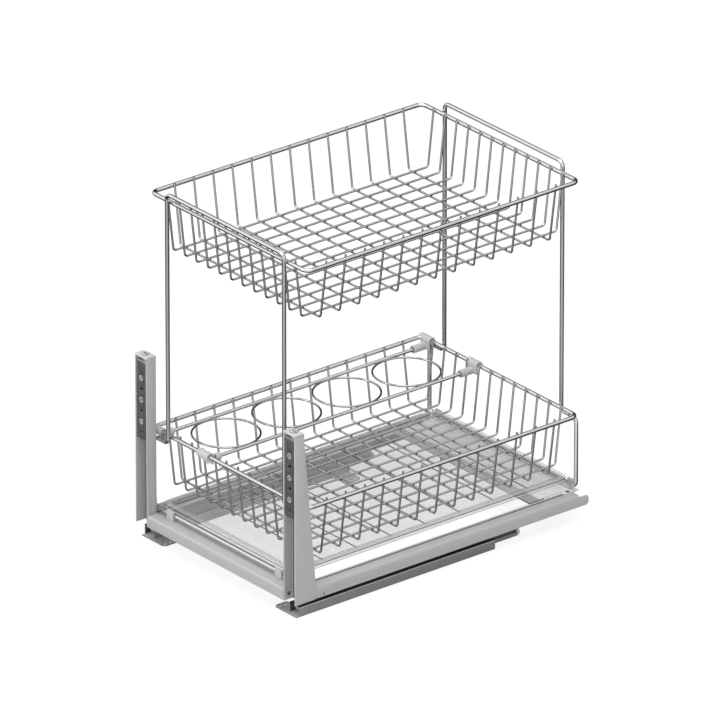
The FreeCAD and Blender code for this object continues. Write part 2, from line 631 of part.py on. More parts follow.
def middle_rail():
    """Middle rail: two heads that run between the balls, joined by a thin web."""
    front, back = MIDDLE_RAIL_FRONT, MIDDLE_RAIL_FRONT + MIDDLE_RAIL_LENGTH
    lower = block(SLIDE_X - LOWER_HEAD_WIDTH / 2, SLIDE_X + LOWER_HEAD_WIDTH / 2, front, back,
                  LOWER_HEAD_Z, LOWER_HEAD_Z + MIDDLE_HEAD)
    upper = block(SLIDE_X - UPPER_HEAD_WIDTH / 2, SLIDE_X + UPPER_HEAD_WIDTH / 2, front, back,
                  UPPER_HEAD_Z - MIDDLE_HEAD, UPPER_HEAD_Z)
    web = block(SLIDE_X - MIDDLE_WEB / 2, SLIDE_X + MIDDLE_WEB / 2, front, back,
                LOWER_HEAD_Z, UPPER_HEAD_Z)
    return lower.multiFuse([upper, web]).removeSplitter().Solids[0]


def middle_rail_buffer():
    """Nylon buffer on the rear end of the middle rail."""
    back = MIDDLE_RAIL_FRONT + MIDDLE_RAIL_LENGTH
    x0, x1 = SLIDE_X - BUFFER_WIDTH / 2, SLIDE_X + BUFFER_WIDTH / 2
    body = block(x0, x1, back, back + BUFFER_LENGTH, LOWER_HEAD_Z, LOWER_HEAD_Z + BUFFER_HEIGHT)
    rear = [edge for edge in body.Edges if lies_across(edge, back + BUFFER_LENGTH)]
    return body.makeFillet(BUFFER_BEND, rear)


def drawer_rail():
    """Moving rail under the frame: a channel open at the bottom."""
    half = DRAWER_RAIL_WIDTH / 2
    x0, x1 = SLIDE_X - half, SLIDE_X + half
    front, back = UPRIGHT_BACK_Y, FRONT_Y + DRAWER_RAIL_LENGTH
    rail = block(x0, x1, front, back, DRAWER_RAIL_BOTTOM, DRAWER_RAIL_TOP)
    rail = rail.cut(block(x0 + SHEET, x1 - SHEET, front - OVERCUT, back + OVERCUT,
                          DRAWER_RAIL_BOTTOM - OVERCUT, DRAWER_RAIL_TOP - SHEET))
    for y in rail_rivet_places():
        rail = rail.cut(cylinder(Vector(rivet_x(), y, DRAWER_RAIL_TOP - SHEET - OVERCUT),
                                 Vector(0, 0, 1), RIVET_RADIUS, SHEET + 2 * OVERCUT))
    return rail


def ball_offset(head_width):
    """Distance of the ball centres from the middle of the slide."""
    return head_width / 2 + BALL_GAP + BALL_RADIUS


def ball_places(start, length):
    """Places of the balls along a cage, centred in it."""
    count = int((length - 2 * BALL_RADIUS) // BALL_PITCH) + 1
    middle = start + length / 2
    return [middle + offset for offset in spread(count, BALL_PITCH)]


def ball_cage(start, length, offset, ball_z, plate_z, side_z):
    """Thin cage: a flat strip joined to two side strips with round ball pockets."""
    half = offset + CAGE_SHEET / 2
    z0, z1 = sorted((plate_z, plate_z + math.copysign(CAGE_SHEET, side_z - plate_z)))
    pieces = [block(SLIDE_X - half, SLIDE_X + half, start, start + length, z0, z1)]
    for side in SIDES.values():
        x = SLIDE_X + side * offset
        pieces.append(block(x - CAGE_SHEET / 2, x + CAGE_SHEET / 2, start, start + length,
                            plate_z, side_z))
    cage = pieces[0].multiFuse(pieces[1:]).removeSplitter().Solids[0]
    for y in ball_places(start, length):
        pocket = cylinder(Vector(SLIDE_X - half - OVERCUT, y, ball_z), Vector(1, 0, 0),
                          BALL_RADIUS + BALL_GAP, 2 * half + 2 * OVERCUT)
        cage = cage.cut(pocket)
    return cage.Solids[0]


def balls(start, length, offset, ball_z):
    """Two rows of steel balls."""
    return group(Part.makeSphere(BALL_RADIUS, Vector(SLIDE_X + side * offset, y, ball_z))
                 for y in ball_places(start, length) for side in SIDES.values())


def lower_cage_start():
    return MIDDLE_RAIL_FRONT + LOWER_CAGE_START


def upper_cage_start():
    return FRONT_Y + UPPER_CAGE_START


def lower_ball_cage():
    return ball_cage(lower_cage_start(), LOWER_CAGE_LENGTH, ball_offset(LOWER_HEAD_WIDTH),
                     LOWER_BALL_Z, LOWER_CAGE_Z, LOWER_HEAD_Z + MIDDLE_HEAD)


def lower_balls():
    return balls(lower_cage_start(), LOWER_CAGE_LENGTH, ball_offset(LOWER_HEAD_WIDTH),
                 LOWER_BALL_Z)


def upper_ball_cage():
    return ball_cage(upper_cage_start(), UPPER_CAGE_LENGTH, ball_offset(UPPER_HEAD_WIDTH),
                     UPPER_BALL_Z, DRAWER_RAIL_TOP - SHEET - CAGE_GAP,
                     UPPER_HEAD_Z - MIDDLE_HEAD)


def upper_balls():
    return balls(upper_cage_start(), UPPER_CAGE_LENGTH, ball_offset(UPPER_HEAD_WIDTH),
                 UPPER_BALL_Z)


# Support wires and their clips

def support_wire(end):
    """Closed loop of wire: two posts that step outwards under the lower basket's rim."""
    y = BASKET_Y + end * SUPPORT_Y
    post, foot_x = SUPPORT_SPACING / 2, SUPPORT_FOOT_SPACING / 2
    top = SUPPORT_TOP - SUPPORT_RADIUS
    right = [(foot_x, SUPPORT_BOTTOM), (foot_x, SUPPORT_JOG), (post, SUPPORT_JOG), (post, top)]
    left = [(-x, z) for x, z in reversed(right)]
    points = [Vector(x, y, z) for x, z in right + left]
    bends = [SUPPORT_BEND] * 3 + [SUPPORT_TOP_BEND] * 2 + [SUPPORT_BEND] * 3
    return bent_wire(points, SUPPORT_RADIUS, bends, closed=True)


def clip_place(end, side):
    """Middle of one clip: the front ones stand further in than the rear ones."""
    inset = CLIP_INSET if end < 0 else REAR_CLIP_INSET
    x = side * (SUPPORT_FOOT_SPACING / 2 - inset)
    seat = FRAME_TOP if end < 0 else REAR_PLATE_TOP
    return Vector(x, BASKET_Y + end * SUPPORT_Y, seat)


def clip_half(end, side, upper):
    """Lower or upper half of a moulded clip round the bottom run of a support wire."""
    place = clip_place(end, side)
    width = CLIP_WIDTH if end < 0 else REAR_CLIP_WIDTH
    x0, x1 = place.x - width / 2, place.x + width / 2
    outer = place.y + end * (SUPPORT_RADIUS + CLIP_WALL)
    if upper:
        tray_edge = BASKET_Y + end * (TRAY_HALF_LENGTH + CLIP_TRAY_GAP)
        body = block(x0, x1, outer, tray_edge, SUPPORT_BOTTOM,
                     SUPPORT_BOTTOM + SUPPORT_RADIUS + CLIP_TOP)
    else:
        inner = place.y - end * (SUPPORT_RADIUS + WELD_GAP)
        body = block(x0, x1, outer, inner, place.z, SUPPORT_BOTTOM)
    bore = cylinder(Vector(x0 - OVERCUT, place.y, SUPPORT_BOTTOM), Vector(1, 0, 0),
                    SUPPORT_RADIUS + WELD_GAP, width + 2 * OVERCUT)
    return body.cut(bore).Solids[0]


def clips(upper):
    return group(clip_half(end, side, upper) for end in (-1, 1) for side in SIDES.values())


# Baskets

def basket_rim(rim_z):
    """Closed rim wire with four bent corners."""
    corners = [(RIM_X, RIM_Y), (-RIM_X, RIM_Y), (-RIM_X, -RIM_Y), (RIM_X, -RIM_Y)]
    points = [Vector(x, BASKET_Y + y, rim_z) for x, y in corners]
    return bent_wire(points, RIM_RADIUS, [RIM_BEND] * 4, closed=True)


def hanger_offset(taper):
    """Distance of a leaning grid wire from the rim wire, measured level with the rim."""
    lean = math.atan2(taper, BASKET_DEPTH)
    return (RIM_RADIUS + GRID_RADIUS + WELD_GAP) / math.cos(lean)


def basket_wire(half_span, taper, rim_z, depth, place):
    """One U-shaped grid wire, welded inside the rim at both ends."""
    inside = half_span - hanger_offset(taper)
    slope = taper / BASKET_DEPTH
    tip = inside + slope * WIRE_TIP
    low = inside - slope * depth
    profile = [(-tip, rim_z + WIRE_TIP), (-low, rim_z - depth), (low, rim_z - depth),
               (tip, rim_z + WIRE_TIP)]
    points = [place(across, z) for across, z in profile]
    return bent_wire(points, GRID_RADIUS, [GRID_BEND] * 4)


def cross_wires(rim_z):
    """Wires that run across the basket, lowest in the floor."""
    return group(
        basket_wire(RIM_X, SIDE_TAPER, rim_z, BASKET_DEPTH,
                    lambda across, z, y=y: Vector(across, BASKET_Y + y, z))
        for y in spread(CROSS_WIRE_COUNT, CROSS_PITCH))


def long_wires(rim_z):
    """Wires that run front to back and lie on the cross wires."""
    depth = BASKET_DEPTH - GRID_WIRE - WELD_GAP
    return group(
        basket_wire(RIM_Y, END_TAPER, rim_z, depth,
                    lambda across, z, x=x: Vector(x, BASKET_Y + across, z))
        for x in spread(LONG_WIRE_COUNT, LONG_PITCH))


# Bottle rack

def bottle_rail(x):
    """Straight rail of the bottle rack; both ends stand in a fitting."""
    half = RIM_Y - SLEEVE_LENGTH + SLEEVE_DEPTH
    return cylinder(Vector(x, BASKET_Y - half, RACK_Z), Vector(0, 1, 0), RACK_RADIUS, 2 * half)


def bottle_rings():
    """Four rings between the rails."""
    x = (RACK_LEFT_X + RACK_RIGHT_X) / 2
    return group(Part.makeTorus(RING_RADIUS, RING_WIRE / 2, Vector(x, BASKET_Y + y, RACK_Z))
                 for y in spread(RING_COUNT, RING_PITCH))


def rim_clearance():
    """Space that the rim and its welded wire ends need under the fittings."""
    reach = RIM_RADIUS + SADDLE_CLEARANCE
    corners = [(RIM_X, RIM_Y), (-RIM_X, RIM_Y), (-RIM_X, -RIM_Y), (RIM_X, -RIM_Y)]
    points = [Vector(x, BASKET_Y + y, LOWER_RIM) for x, y in corners]
    tube = bent_wire(points, reach, [RIM_BEND] * 4, closed=True)
    drop = SADDLE_CUT_DROP
    outer = rounded_rectangle(RIM_X + reach, RIM_Y + reach, RIM_BEND + reach, BASKET_Y,
                              LOWER_RIM - drop, drop)
    inner = rounded_rectangle(RIM_X - reach, RIM_Y - reach, RIM_BEND - reach, BASKET_Y,
                              LOWER_RIM - drop, drop)
    cutters = [tube, outer.cut(inner)]
    width = GRID_WIRE + 2 * SADDLE_CLEARANCE
    depth = RIM_WIRE + GRID_WIRE + 2 * SADDLE_CLEARANCE
    for end in (-1, 1):
        for x in spread(LONG_WIRE_COUNT, LONG_PITCH):
            y = BASKET_Y + end * RIM_Y
            cutters.append(block(x - width / 2, x + width / 2, y, y - end * depth,
                                 LOWER_RIM - drop, LOWER_RIM + WIRE_TIP + 2 * SADDLE_CLEARANCE))
    return cutters


def bottle_fitting(x, end, cutters):
    """Moulded T-fitting: a saddle over the rim and a sleeve that grips the rail."""
    y = BASKET_Y + end * RIM_Y
    x0, x1 = x - SADDLE_LENGTH / 2, x + SADDLE_LENGTH / 2
    saddle = cylinder(Vector(x0, y, LOWER_RIM), Vector(1, 0, 0), SADDLE_RADIUS, SADDLE_LENGTH)
    saddle = saddle.cut(block(x0 - OVERCUT, x1 + OVERCUT, y, y + end * (SADDLE_RADIUS + OVERCUT),
                              LOWER_RIM - SADDLE_SKIRT, LOWER_RIM - SADDLE_RADIUS - OVERCUT))
    skirt = block(x0, x1, y, y - end * SADDLE_RADIUS, LOWER_RIM - SADDLE_DROP, LOWER_RIM)
    sleeve = cylinder(Vector(x, y, RACK_Z), Vector(0, -end, 0), SLEEVE_RADIUS, SLEEVE_LENGTH)
    body = saddle.multiFuse([skirt, sleeve]).removeSplitter().Solids[0]
    mouth = y - end * SLEEVE_LENGTH
    inwards = Vector(0, end, 0)
    socket = cylinder(Vector(x, mouth - end, RACK_Z), inwards, RACK_RADIUS + WELD_GAP,
                      SLEEVE_DEPTH + OVERCUT)
    funnel = Part.makeCone(SLEEVE_MOUTH_RADIUS, RACK_RADIUS + WELD_GAP, SLEEVE_MOUTH_DEPTH,
                           Vector(x, mouth, RACK_Z), inwards)
    body = body.cut(cutters + [socket, funnel])
    return max(body.Solids, key=lambda solid: solid.Volume)


# Drip tray

def drip_tray():
    """Clear tray with a hollow raised border; it lies on the two bottom runs."""
    half_x, half_y = TRAY_WIDTH / 2, TRAY_HALF_LENGTH
    z, wall, rim = TRAY_BOTTOM, TRAY_WALL, TRAY_RIM_WIDTH

    def plan(inset, low, height):
        return rounded_rectangle(half_x - inset, half_y - inset, TRAY_CORNER - inset,
                                 BASKET_Y, low, height)

    tray = plan(0, z, TRAY_HEIGHT)
    tray = tray.cut(plan(rim, z + wall, TRAY_HEIGHT))
    channel = plan(wall, z - OVERCUT, TRAY_HEIGHT - wall + OVERCUT)
    channel = channel.cut(plan(rim - wall, z - OVERCUT, TRAY_HEIGHT + OVERCUT))
    tray = tray.cut(channel)
    floor = z + wall
    ribs = []
    for y in spread(TRAY_RIBS, TRAY_RIB_PITCH):
        middle = BASKET_Y + y
        ribs.append(block(rim - half_x, half_x - rim, middle - TRAY_RIB_WIDTH / 2,
                          middle + TRAY_RIB_WIDTH / 2, floor, floor + TRAY_RIB))
    return tray.multiFuse(ribs).removeSplitter().Solids[0]


def assembly():
    """Every node's name and shape."""
    nodes = {
        "front_crossbar": front_crossbar(),
        "rear_cross_plate": rear_cross_plate(),
        "rear_stiffener": rear_stiffener(),
        "frame_rivets": frame_rivets(),
        "support_wire_front": support_wire(-1),
        "support_wire_rear": support_wire(1),
        "wire_clip_bases": clips(False),
        "wire_clip_caps": clips(True),
        "drip_tray": drip_tray(),
        "bottle_rail_outer": bottle_rail(RACK_LEFT_X),
        "bottle_rail_inner": bottle_rail(RACK_RIGHT_X),
        "bottle_rings": bottle_rings(),
    }
    for level, rim_z in (("upper", UPPER_RIM), ("lower", LOWER_RIM)):
        nodes[level + "_basket_rim"] = basket_rim(rim_z)
        nodes[level + "_basket_cross_wires"] = cross_wires(rim_z)
        nodes[level + "_basket_long_wires"] = long_wires(rim_z)
    cutters = rim_clearance()
    for row, x in (("outer", RACK_LEFT_X), ("inner", RACK_RIGHT_X)):
        for place, end in (("front", -1), ("rear", 1)):
            nodes["bottle_fitting_%s_%s" % (place, row)] = bottle_fitting(x, end, cutters)
    paired = {
        "side_rail": side_rail(),
        "door_upright": door_upright(),
        "door_plate": door_plate(),
        "door_plate_nuts": door_plate_nuts(),
        "upright_cap": upright_cap(),
        "adjuster_screw": adjuster_screw(),
        "cabinet_rail": cabinet_rail(),
        "middle_rail": middle_rail(),
        "middle_rail_buffer": middle_rail_buffer(),
        "drawer_rail": drawer_rail(),
        "lower_ball_cage": lower_ball_cage(),
        "lower_balls": lower_balls(),
        "upper_ball_cage": upper_ball_cage(),
        "upper_balls": upper_balls(),
    }
    for name, shape in paired.items():
        for side in SIDES:
            nodes["%s_%s" % (name, side)] = on_side(shape, side)
    return nodes


def main():
    os.makedirs("parts", exist_ok=True)
    for name, shape in assembly().items():
        if not shape.isValid() or shape.Volume <= 0:
            raise ValueError("bad shape for " + name)
        shape.exportStep("parts/%s.step" % name)
        print("%-30s %3d solids %10.1f mm3" % (name, len(shape.Solids), shape.Volume))


main()
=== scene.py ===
import json
import math

import bmesh
import bpy
from bpy.props import FloatProperty, FloatVectorProperty, IntProperty, PointerProperty
from bpy.types import Operator, Panel, PropertyGroup, Scene
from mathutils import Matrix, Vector

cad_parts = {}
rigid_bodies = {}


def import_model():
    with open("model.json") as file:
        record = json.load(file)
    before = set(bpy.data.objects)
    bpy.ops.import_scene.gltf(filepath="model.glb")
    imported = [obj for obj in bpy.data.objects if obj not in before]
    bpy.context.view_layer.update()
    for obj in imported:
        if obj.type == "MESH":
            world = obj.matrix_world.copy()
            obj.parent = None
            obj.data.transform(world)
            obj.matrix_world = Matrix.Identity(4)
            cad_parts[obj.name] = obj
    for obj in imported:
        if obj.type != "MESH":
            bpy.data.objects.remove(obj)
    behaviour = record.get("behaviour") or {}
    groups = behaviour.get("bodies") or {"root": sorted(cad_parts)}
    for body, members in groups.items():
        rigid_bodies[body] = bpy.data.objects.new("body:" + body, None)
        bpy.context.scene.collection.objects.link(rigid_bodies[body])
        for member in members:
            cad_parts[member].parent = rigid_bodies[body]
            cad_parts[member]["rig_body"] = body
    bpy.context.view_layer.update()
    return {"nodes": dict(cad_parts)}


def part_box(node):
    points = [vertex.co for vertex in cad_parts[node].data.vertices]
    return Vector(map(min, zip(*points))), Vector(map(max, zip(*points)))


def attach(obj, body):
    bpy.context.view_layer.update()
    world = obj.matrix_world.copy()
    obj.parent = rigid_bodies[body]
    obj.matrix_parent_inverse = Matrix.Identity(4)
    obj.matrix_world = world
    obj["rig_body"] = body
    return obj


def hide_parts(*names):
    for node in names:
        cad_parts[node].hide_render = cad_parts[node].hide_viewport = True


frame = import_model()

bl_info = {
    "name": "Pull-out pantry unit",
    "version": (1, 0, 0),
    "blender": (4, 5, 0),
    "location": "3D View > Sidebar > Pantry",
    "description": "Dresses a pull-out pantry unit: chromed baskets, frame, slides and tray",
    "category": "Object",
}

MM = 0.001
SIDES = ("left", "right")
LEVELS = ("upper", "lower")

# Edges that turn more than these degrees stay sharp in the shading
WIRE_SHARP = 60.0
TRAY_SHARP = 40.0
SHEET_SHARP = 30.0

# Sheet edges that turn more than this are rounded, and faces that turn less are one face
ROUNDED_ANGLE = 35.0
FLAT_ANGLE = 0.5
MERGE_GAP = 0.002 * MM

# How far a face's normal agrees with an axis, for a face that is flat on it or turned to it
FLAT_ON = 0.9
TURNED_TO = 0.5
PARTLY_TO = 0.3

PHOTO_WIDTH = 720
SENSOR_WIDTH = 36.0
CLIP_END = 100.0


# Settings

def length(name, description, millimetres):
    """A size whose default is given in millimetres."""
    return FloatProperty(name=name, description=description, default=millimetres * MM,
                         precision=5, subtype="DISTANCE", unit="LENGTH")


def direction(name, description, degrees):
    """An angle whose default is given in degrees."""
    return FloatProperty(name=name, description=description, default=math.radians(degrees),
                         subtype="ANGLE", unit="ROTATION")


def fraction(name, description, value):
    """A tone or a level from 0 to 1."""
    return FloatProperty(name=name, description=description, default=value, min=0.0, max=1.0)


def power(name, description, watts):
    return FloatProperty(name=name, description=description, default=watts, min=0.0,
                         subtype="POWER", unit="POWER")


def number(name, description, value, least):
    return IntProperty(name=name, description=description, default=value, min=least)


def colour(name, description, value):
    return FloatVectorProperty(name=name, description=description, default=value, size=3,
                               min=0.0, max=1.0, subtype="COLOR")


class PantryWires(PropertyGroup):
    """Bends, counts and roundness of the wires."""
    rim_bend: length("Rim bend", "Corner radius of the basket rims", 10.0)
    grid_bend: length("Grid bend", "Corner radius of the grid wires", 5.0)
    support_bend: length("Support bend", "Corner radius of the support wires", 8.0)
    post_spacing: length("Post spacing", "Between the posts of a support wire", 248.8)
    jog_drop: length("Jog drop", "From the lower rim's underside to the middle of the jog", 5.0)
    side_lean: length("Side lean", "Lean of a basket's long sides", 12.0)
    end_lean: length("End lean", "Lean of a basket's short sides", 9.5)
    # Painted shade: darker chrome on the thin wires, posts and rings, for darker reflections
    grid_painted_shade: fraction("Grid shade", "Darkness of the thin wires", 0.3)
    post_painted_shade: fraction("Post shade", "Darkness of posts and rings", 0.45)
    weld_width: length("Weld width", "Width of a weld spot", 4.4)
    weld_height: length("Weld height", "Height of a weld spot", 1.0)
    cross_count: number("Cross wires", "Grid wires across a basket", 13, 2)
    long_count: number("Long wires", "Grid wires along a basket", 12, 2)
    ring_count: number("Rings", "Bottle rings in the rack", 4, 1)
    ring_steps: number("Ring steps", "Faces along a bottle ring", 120, 12)
    sides: number("Sides", "Faces round a thick wire", 24, 6)
    grid_sides: number("Grid sides", "Faces round a thin wire", 14, 6)
    bend_steps: number("Bend steps", "Faces along a bend", 9, 2)


class PantryShapes(PropertyGroup):
    """Edges, moulded forms, and where painted light and painted shade go on the sheets."""
    sheet_edge: length("Sheet edge", "Rounding of the sheet steel's edges", 0.68)
    plate_edge: length("Plate edge", "Rounding of the thin plates' edges", 0.4)
    mould_grain: length("Mould grain", "Voxel of the moulded pieces' skin", 0.4)
    tray_wall: length("Tray wall", "Wall of the drip tray", 2.0)
    tray_border: length("Tray border", "Width of the tray's raised border", 12.0)
    tray_corner: length("Tray corner", "Outer corner radius of the drip tray", 14.0)
    tray_edge: length("Tray edge", "Rounding of the tray's border", 0.9)
    rib_pitch: length("Rib pitch", "Distance between the tray's ribs", 59.0)
    rib_width: length("Rib width", "Width of a rib of the tray", 1.6)
    rib_height: length("Rib height", "Height of a rib of the tray", 0.8)
    rib_count: number("Ribs", "Ribs on the tray's floor", 7, 1)
    # Painted highlight on the door plates' upper edge
    plate_line: length("Plate line", "Height of the plates' worn edge", 1.0)
    # Painted shade above the cabinet rails' lip, a painted highlight line below it and painted
    # light on their feet
    lip_shade_height: length("Lip height", "Height of the cabinet rails' lip", 1.9)
    lip_highlight_line: length("Lip line", "Width of the bright line below the lip", 0.9)
    foot_top: length("Foot top", "Upper limit of the rails' feet", 2.5)
    foot_painted_light: fraction("Foot brightening", "Brightness of the rails' feet", 0.5)
    # Painted shade inside the slides and on the drawer rails
    slide_painted_shade: fraction("Slide shade", "Darkness of the oiled faces", 0.8)
    # Painted shade in the uprights' channel and a painted highlight on their front bends
    channel_depth: length("Channel depth", "Least depth of the uprights' channel", 3.5)
    channel_painted_shade: fraction("Channel shade", "Darkness of the uprights' channel", 0.55)
    bend_painted_highlight: fraction("Bend brightening", "Brightness of the uprights' bends", 0.9)
    # Painted shade at the foot of the side rails' step and a painted highlight on the crease above
    # it
    strip_width: length("Strip width", "Width of the flange's lower strip", 8.0)
    strip_shade_width: length("Strip seam", "Width of the seam at its step", 4.1)
    crease_highlight_reach: length("Strip crease", "Reach of the crease above the step", 3.0)
    # Painted light on the rear cross plate and stiffener, painted shade on the rivets
    rear_painted_light: fraction("Rear brightening", "Brightness of the rear cross plate", 0.85)
    stiffener_painted_light: fraction("Stiffener brightening", "Brightness of the rear stiffener", 0.3)
    rivet_painted_shade: fraction("Rivet shade", "Darkness of the rivets", 0.8)
    # Painted shade along the bottom of the caps
    cap_seam: length("Cap seam", "Height of the seam under the caps", 1.7)
    ball_radius: length("Ball radius", "Radius of the bearing balls", 2.0)
    ball_pitch: length("Ball pitch", "Distance between the balls of one row", 22.0)


class PantryFinishes(PropertyGroup):
    """Colours of the finishes."""
    chrome: colour("Chrome", "Chromed wire", (0.70, 0.705, 0.715))
    paint: colour("Frame paint", "Powder coat of the frame", (0.56, 0.56, 0.57))
    zinc: colour("Zinc", "Zinc plated slides", (0.34, 0.34, 0.345))
    dark_zinc: colour("Dark plate", "Passivated door plates", (0.18, 0.158, 0.145))
    bright_zinc: colour("Bright zinc", "Screws, nuts and balls", (0.86, 0.86, 0.86))
    # Near-black cage strip, which paints the shade in the gap inside the slides
    strip: colour("Cage strip", "Rolled strip of the ball cages", (0.10, 0.10, 0.10))
    plastic: colour("Grey plastic", "Fittings and clips", (0.60, 0.605, 0.61))
    cap: colour("Cap plastic", "Caps of the uprights", (0.66, 0.665, 0.65))
    nylon: colour("White nylon", "Buffers of the middle rails", (0.8, 0.8, 0.78))
    tray: colour("Tray", "Frosted plastic of the drip tray", (0.66, 0.665, 0.67))


class PantryStage(PropertyGroup):
    """Camera and light."""
    azimuth: direction("Azimuth", "Turn of the camera round the unit", 51.05)
    elevation: direction("Elevation", "Height angle of the camera", 24.697)
    distance: length("Distance", "From the camera to the pivot", 21134.0)
    aside: length("Aside", "Camera's shift to the picture's right", -7.0)
    above: length("Above", "Camera's shift up the picture", -230.886)
    pivot_height: length("Pivot height", "Height of the pivot", 500.0)
    pivot_depth: length("Pivot depth", "Depth of the pivot", 4.0)
    lens_pixels: FloatProperty(name="Lens in pixels", description="Focal length in picture pixels",
                               default=15854.0)
    floor_radius: length("Floor radius", "Radius of the pale floor", 4000.0)
    floor_tone: fraction("Floor tone", "Floor's tone in reflected light", 0.82)
    floor_matt: fraction("Floor matt", "Floor's share that takes a shadow", 0.2)
    floor_glow: fraction("Floor glow", "Floor's share that takes none", 0.86)
    sky_level: fraction("Soft light", "Level of the light from all round", 0.58)
    key_watts: power("Top lamp", "Power of the soft lamp overhead", 60.0)
    left_watts: power("Left lamp", "Power of the lamp on the left", 30.0)
    right_watts: power("Right lamp", "Power of the lamp on the right", 0.5)


# Node helpers

def feed(tree, item, inputs):
    """Links or sets a node's inputs, which are given by name or by place."""
    for name, value in inputs.items():
        if isinstance(value, bpy.types.NodeSocket):
            tree.links.new(value, item.inputs[name])
        else:
            item.inputs[name].default_value = value
    return item


def put(tree, kind, inputs=None, **values):
    """A new node: values set its own properties, inputs are sockets to link or plain values."""
    item = tree.nodes.new(kind)
    for name, value in values.items():
        setattr(item, name, value)
    return feed(tree, item, inputs or {})


def new_group(name, kind, inputs, outputs):
    """A node group with the named inputs and outputs, and what its input node gives."""
    tree = bpy.data.node_groups.new(name, kind)
    for way, sockets in (("INPUT", inputs), ("OUTPUT", outputs)):
        for label, sort in sockets.items():
            tree.interface.new_socket(label, in_out=way, socket_type="NodeSocket" + sort)
    return tree, tree.nodes.new("NodeGroupInput").outputs


def geometry_tree(name, inputs):
    """A Geometry Nodes tree with a geometry in and out and the named inputs."""
    geometry = {"Geometry": "Geometry"}
    return new_group(name, "GeometryNodeTree", {**geometry, **inputs}, geometry)


def close_tree(tree, points, piece):
    """Ends a tree: real copies of a piece on the points."""
    copies = put(tree, "GeometryNodeInstanceOnPoints", {"Points": points, "Instance": piece})
    real = put(tree, "GeometryNodeRealizeInstances", {"Geometry": copies.outputs[0]})
    smooth = put(tree, "GeometryNodeSetShadeSmooth", {"Geometry": real.outputs[0]})
    put(tree, "NodeGroupOutput", {"Geometry": smooth.outputs[0]})


def circle(tree, steps, radius):
    made = put(tree, "GeometryNodeCurvePrimitiveCircle", {"Resolution": steps, "Radius": radius},
               mode="RADIUS")
    return made.outputs[0]


ROW_INPUTS = {"Wire radius": "Float", "Sides": "Int", "Copies": "Int", "Start": "Vector",
              "Step": "Vector"}


def close_row(tree, given, path):
    """Ends a tree: a round wire along the path, and its copies in a row."""
    wire = put(tree, "GeometryNodeCurveToMesh", {
        "Curve": path, "Profile Curve": circle(tree, given["Sides"], given["Wire radius"]),
        "Fill Caps": True})
    row = put(tree, "GeometryNodeMeshLine", {
        "Count": given["Copies"], "Start Location": given["Start"], "Offset": given["Step"]},
        mode="OFFSET")
    close_tree(tree, row.outputs[0], wire.outputs[0])


def wire_tree(name):
    """Wires in a row, each along a path of straight runs with its corners bent."""
    tree, given = geometry_tree(name, {"Bend": "Float", "Bend steps": "Int", **ROW_INPUTS})
    path = put(tree, "GeometryNodeMeshToCurve", {"Mesh": given["Geometry"]})
    bent = put(tree, "GeometryNodeFilletCurve", {
        "Curve": path.outputs[0], "Count": given["Bend steps"], "Radius": given["Bend"],
        "Limit Radius": True}, mode="POLY")
    close_row(tree, given, bent.outputs[0])


def ring_tree(name):
    """Round wire rings in a row."""
    tree, given = geometry_tree(name, {"Ring radius": "Float", "Ring steps": "Int", **ROW_INPUTS})
    close_row(tree, given, circle(tree, given["Ring steps"], given["Ring radius"]))


def seat_tree(name):
    """A copy of one small piece on every point of the base."""
    tree, given = geometry_tree(name, {"Piece": "Object"})
    piece = put(tree, "GeometryNodeObjectInfo", {"Object": given["Piece"]})
    close_tree(tree, given["Geometry"], piece.outputs["Geometry"])


TREES = {"Wires in a row": wire_tree, "Rings in a row": ring_tree, "Pieces on seats": seat_tree}


# Mesh helpers

def new_object(name, data):
    made = bpy.data.objects.new(name, data)
    bpy.context.scene.collection.objects.link(made)
    return made


def mesh_of(name, points, edges=(), faces=()):
    mesh = bpy.data.meshes.new(name)
    mesh.from_pydata([tuple(point) for point in points], list(edges), list(faces))
    mesh.update()
    return mesh


def evaluated(source, name):
    """The plain mesh of an object with its modifiers applied; the object goes."""
    bpy.context.view_layer.update()
    graph = bpy.context.evaluated_depsgraph_get()
    mesh = bpy.data.meshes.new_from_object(source.evaluated_get(graph), depsgraph=graph)
    mesh.name = name
    bpy.data.objects.remove(source)
    return mesh


def wear_finish(mesh, finish):
    """One finish on the whole mesh."""
    mesh.materials.clear()
    mesh.materials.append(finish)
    for face in mesh.polygons:
        face.material_index = 0


def grown(tree_name, name, base, slot, **inputs):
    """The mesh that the named tree grows on a base mesh, in a slot's finish."""
    if tree_name not in bpy.data.node_groups:
        TREES[tree_name](tree_name)
    source = new_object(name + "_base", base)
    modifier = source.modifiers.new("Grow", "NODES")
    modifier.node_group = bpy.data.node_groups[tree_name]
    values = {key.replace("_", " ").capitalize(): value for key, value in inputs.items()}
    for item in modifier.node_group.interface.items_tree:
        if item.in_out == "INPUT" and item.name in values:
            modifier[item.identifier] = values[item.name]
    mesh = evaluated(source, name)
    wear_finish(mesh, finish_named(slot))
    return mesh


def wire_mesh(name, points, radius, sides, bend=0.0, bend_steps=1, closed=False, copies=1,
              step=(0.0, 0.0, 0.0), slot="chromed_wire"):
    """A round wire bent through the points, with its copies in a row."""
    count = len(points)
    edges = [(i, (i + 1) % count) for i in range(count if closed else count - 1)]
    return grown("Wires in a row", name, mesh_of("path", points, edges), slot, sides=sides,
                 wire_radius=radius, bend=bend, bend_steps=bend_steps, copies=copies, step=step)


# Face tones for the finishes: "edge" darkens a finish as painted shade, "pale" lightens it as
# painted light
def store_tone(mesh, tone, name="edge"):
    """Keeps a tone from 0 to 1 on each face for the finish to read."""
    stored = mesh.attributes.new(name, "FLOAT", "FACE")
    for face in mesh.polygons:
        stored.data[face.index].value = tone(face)


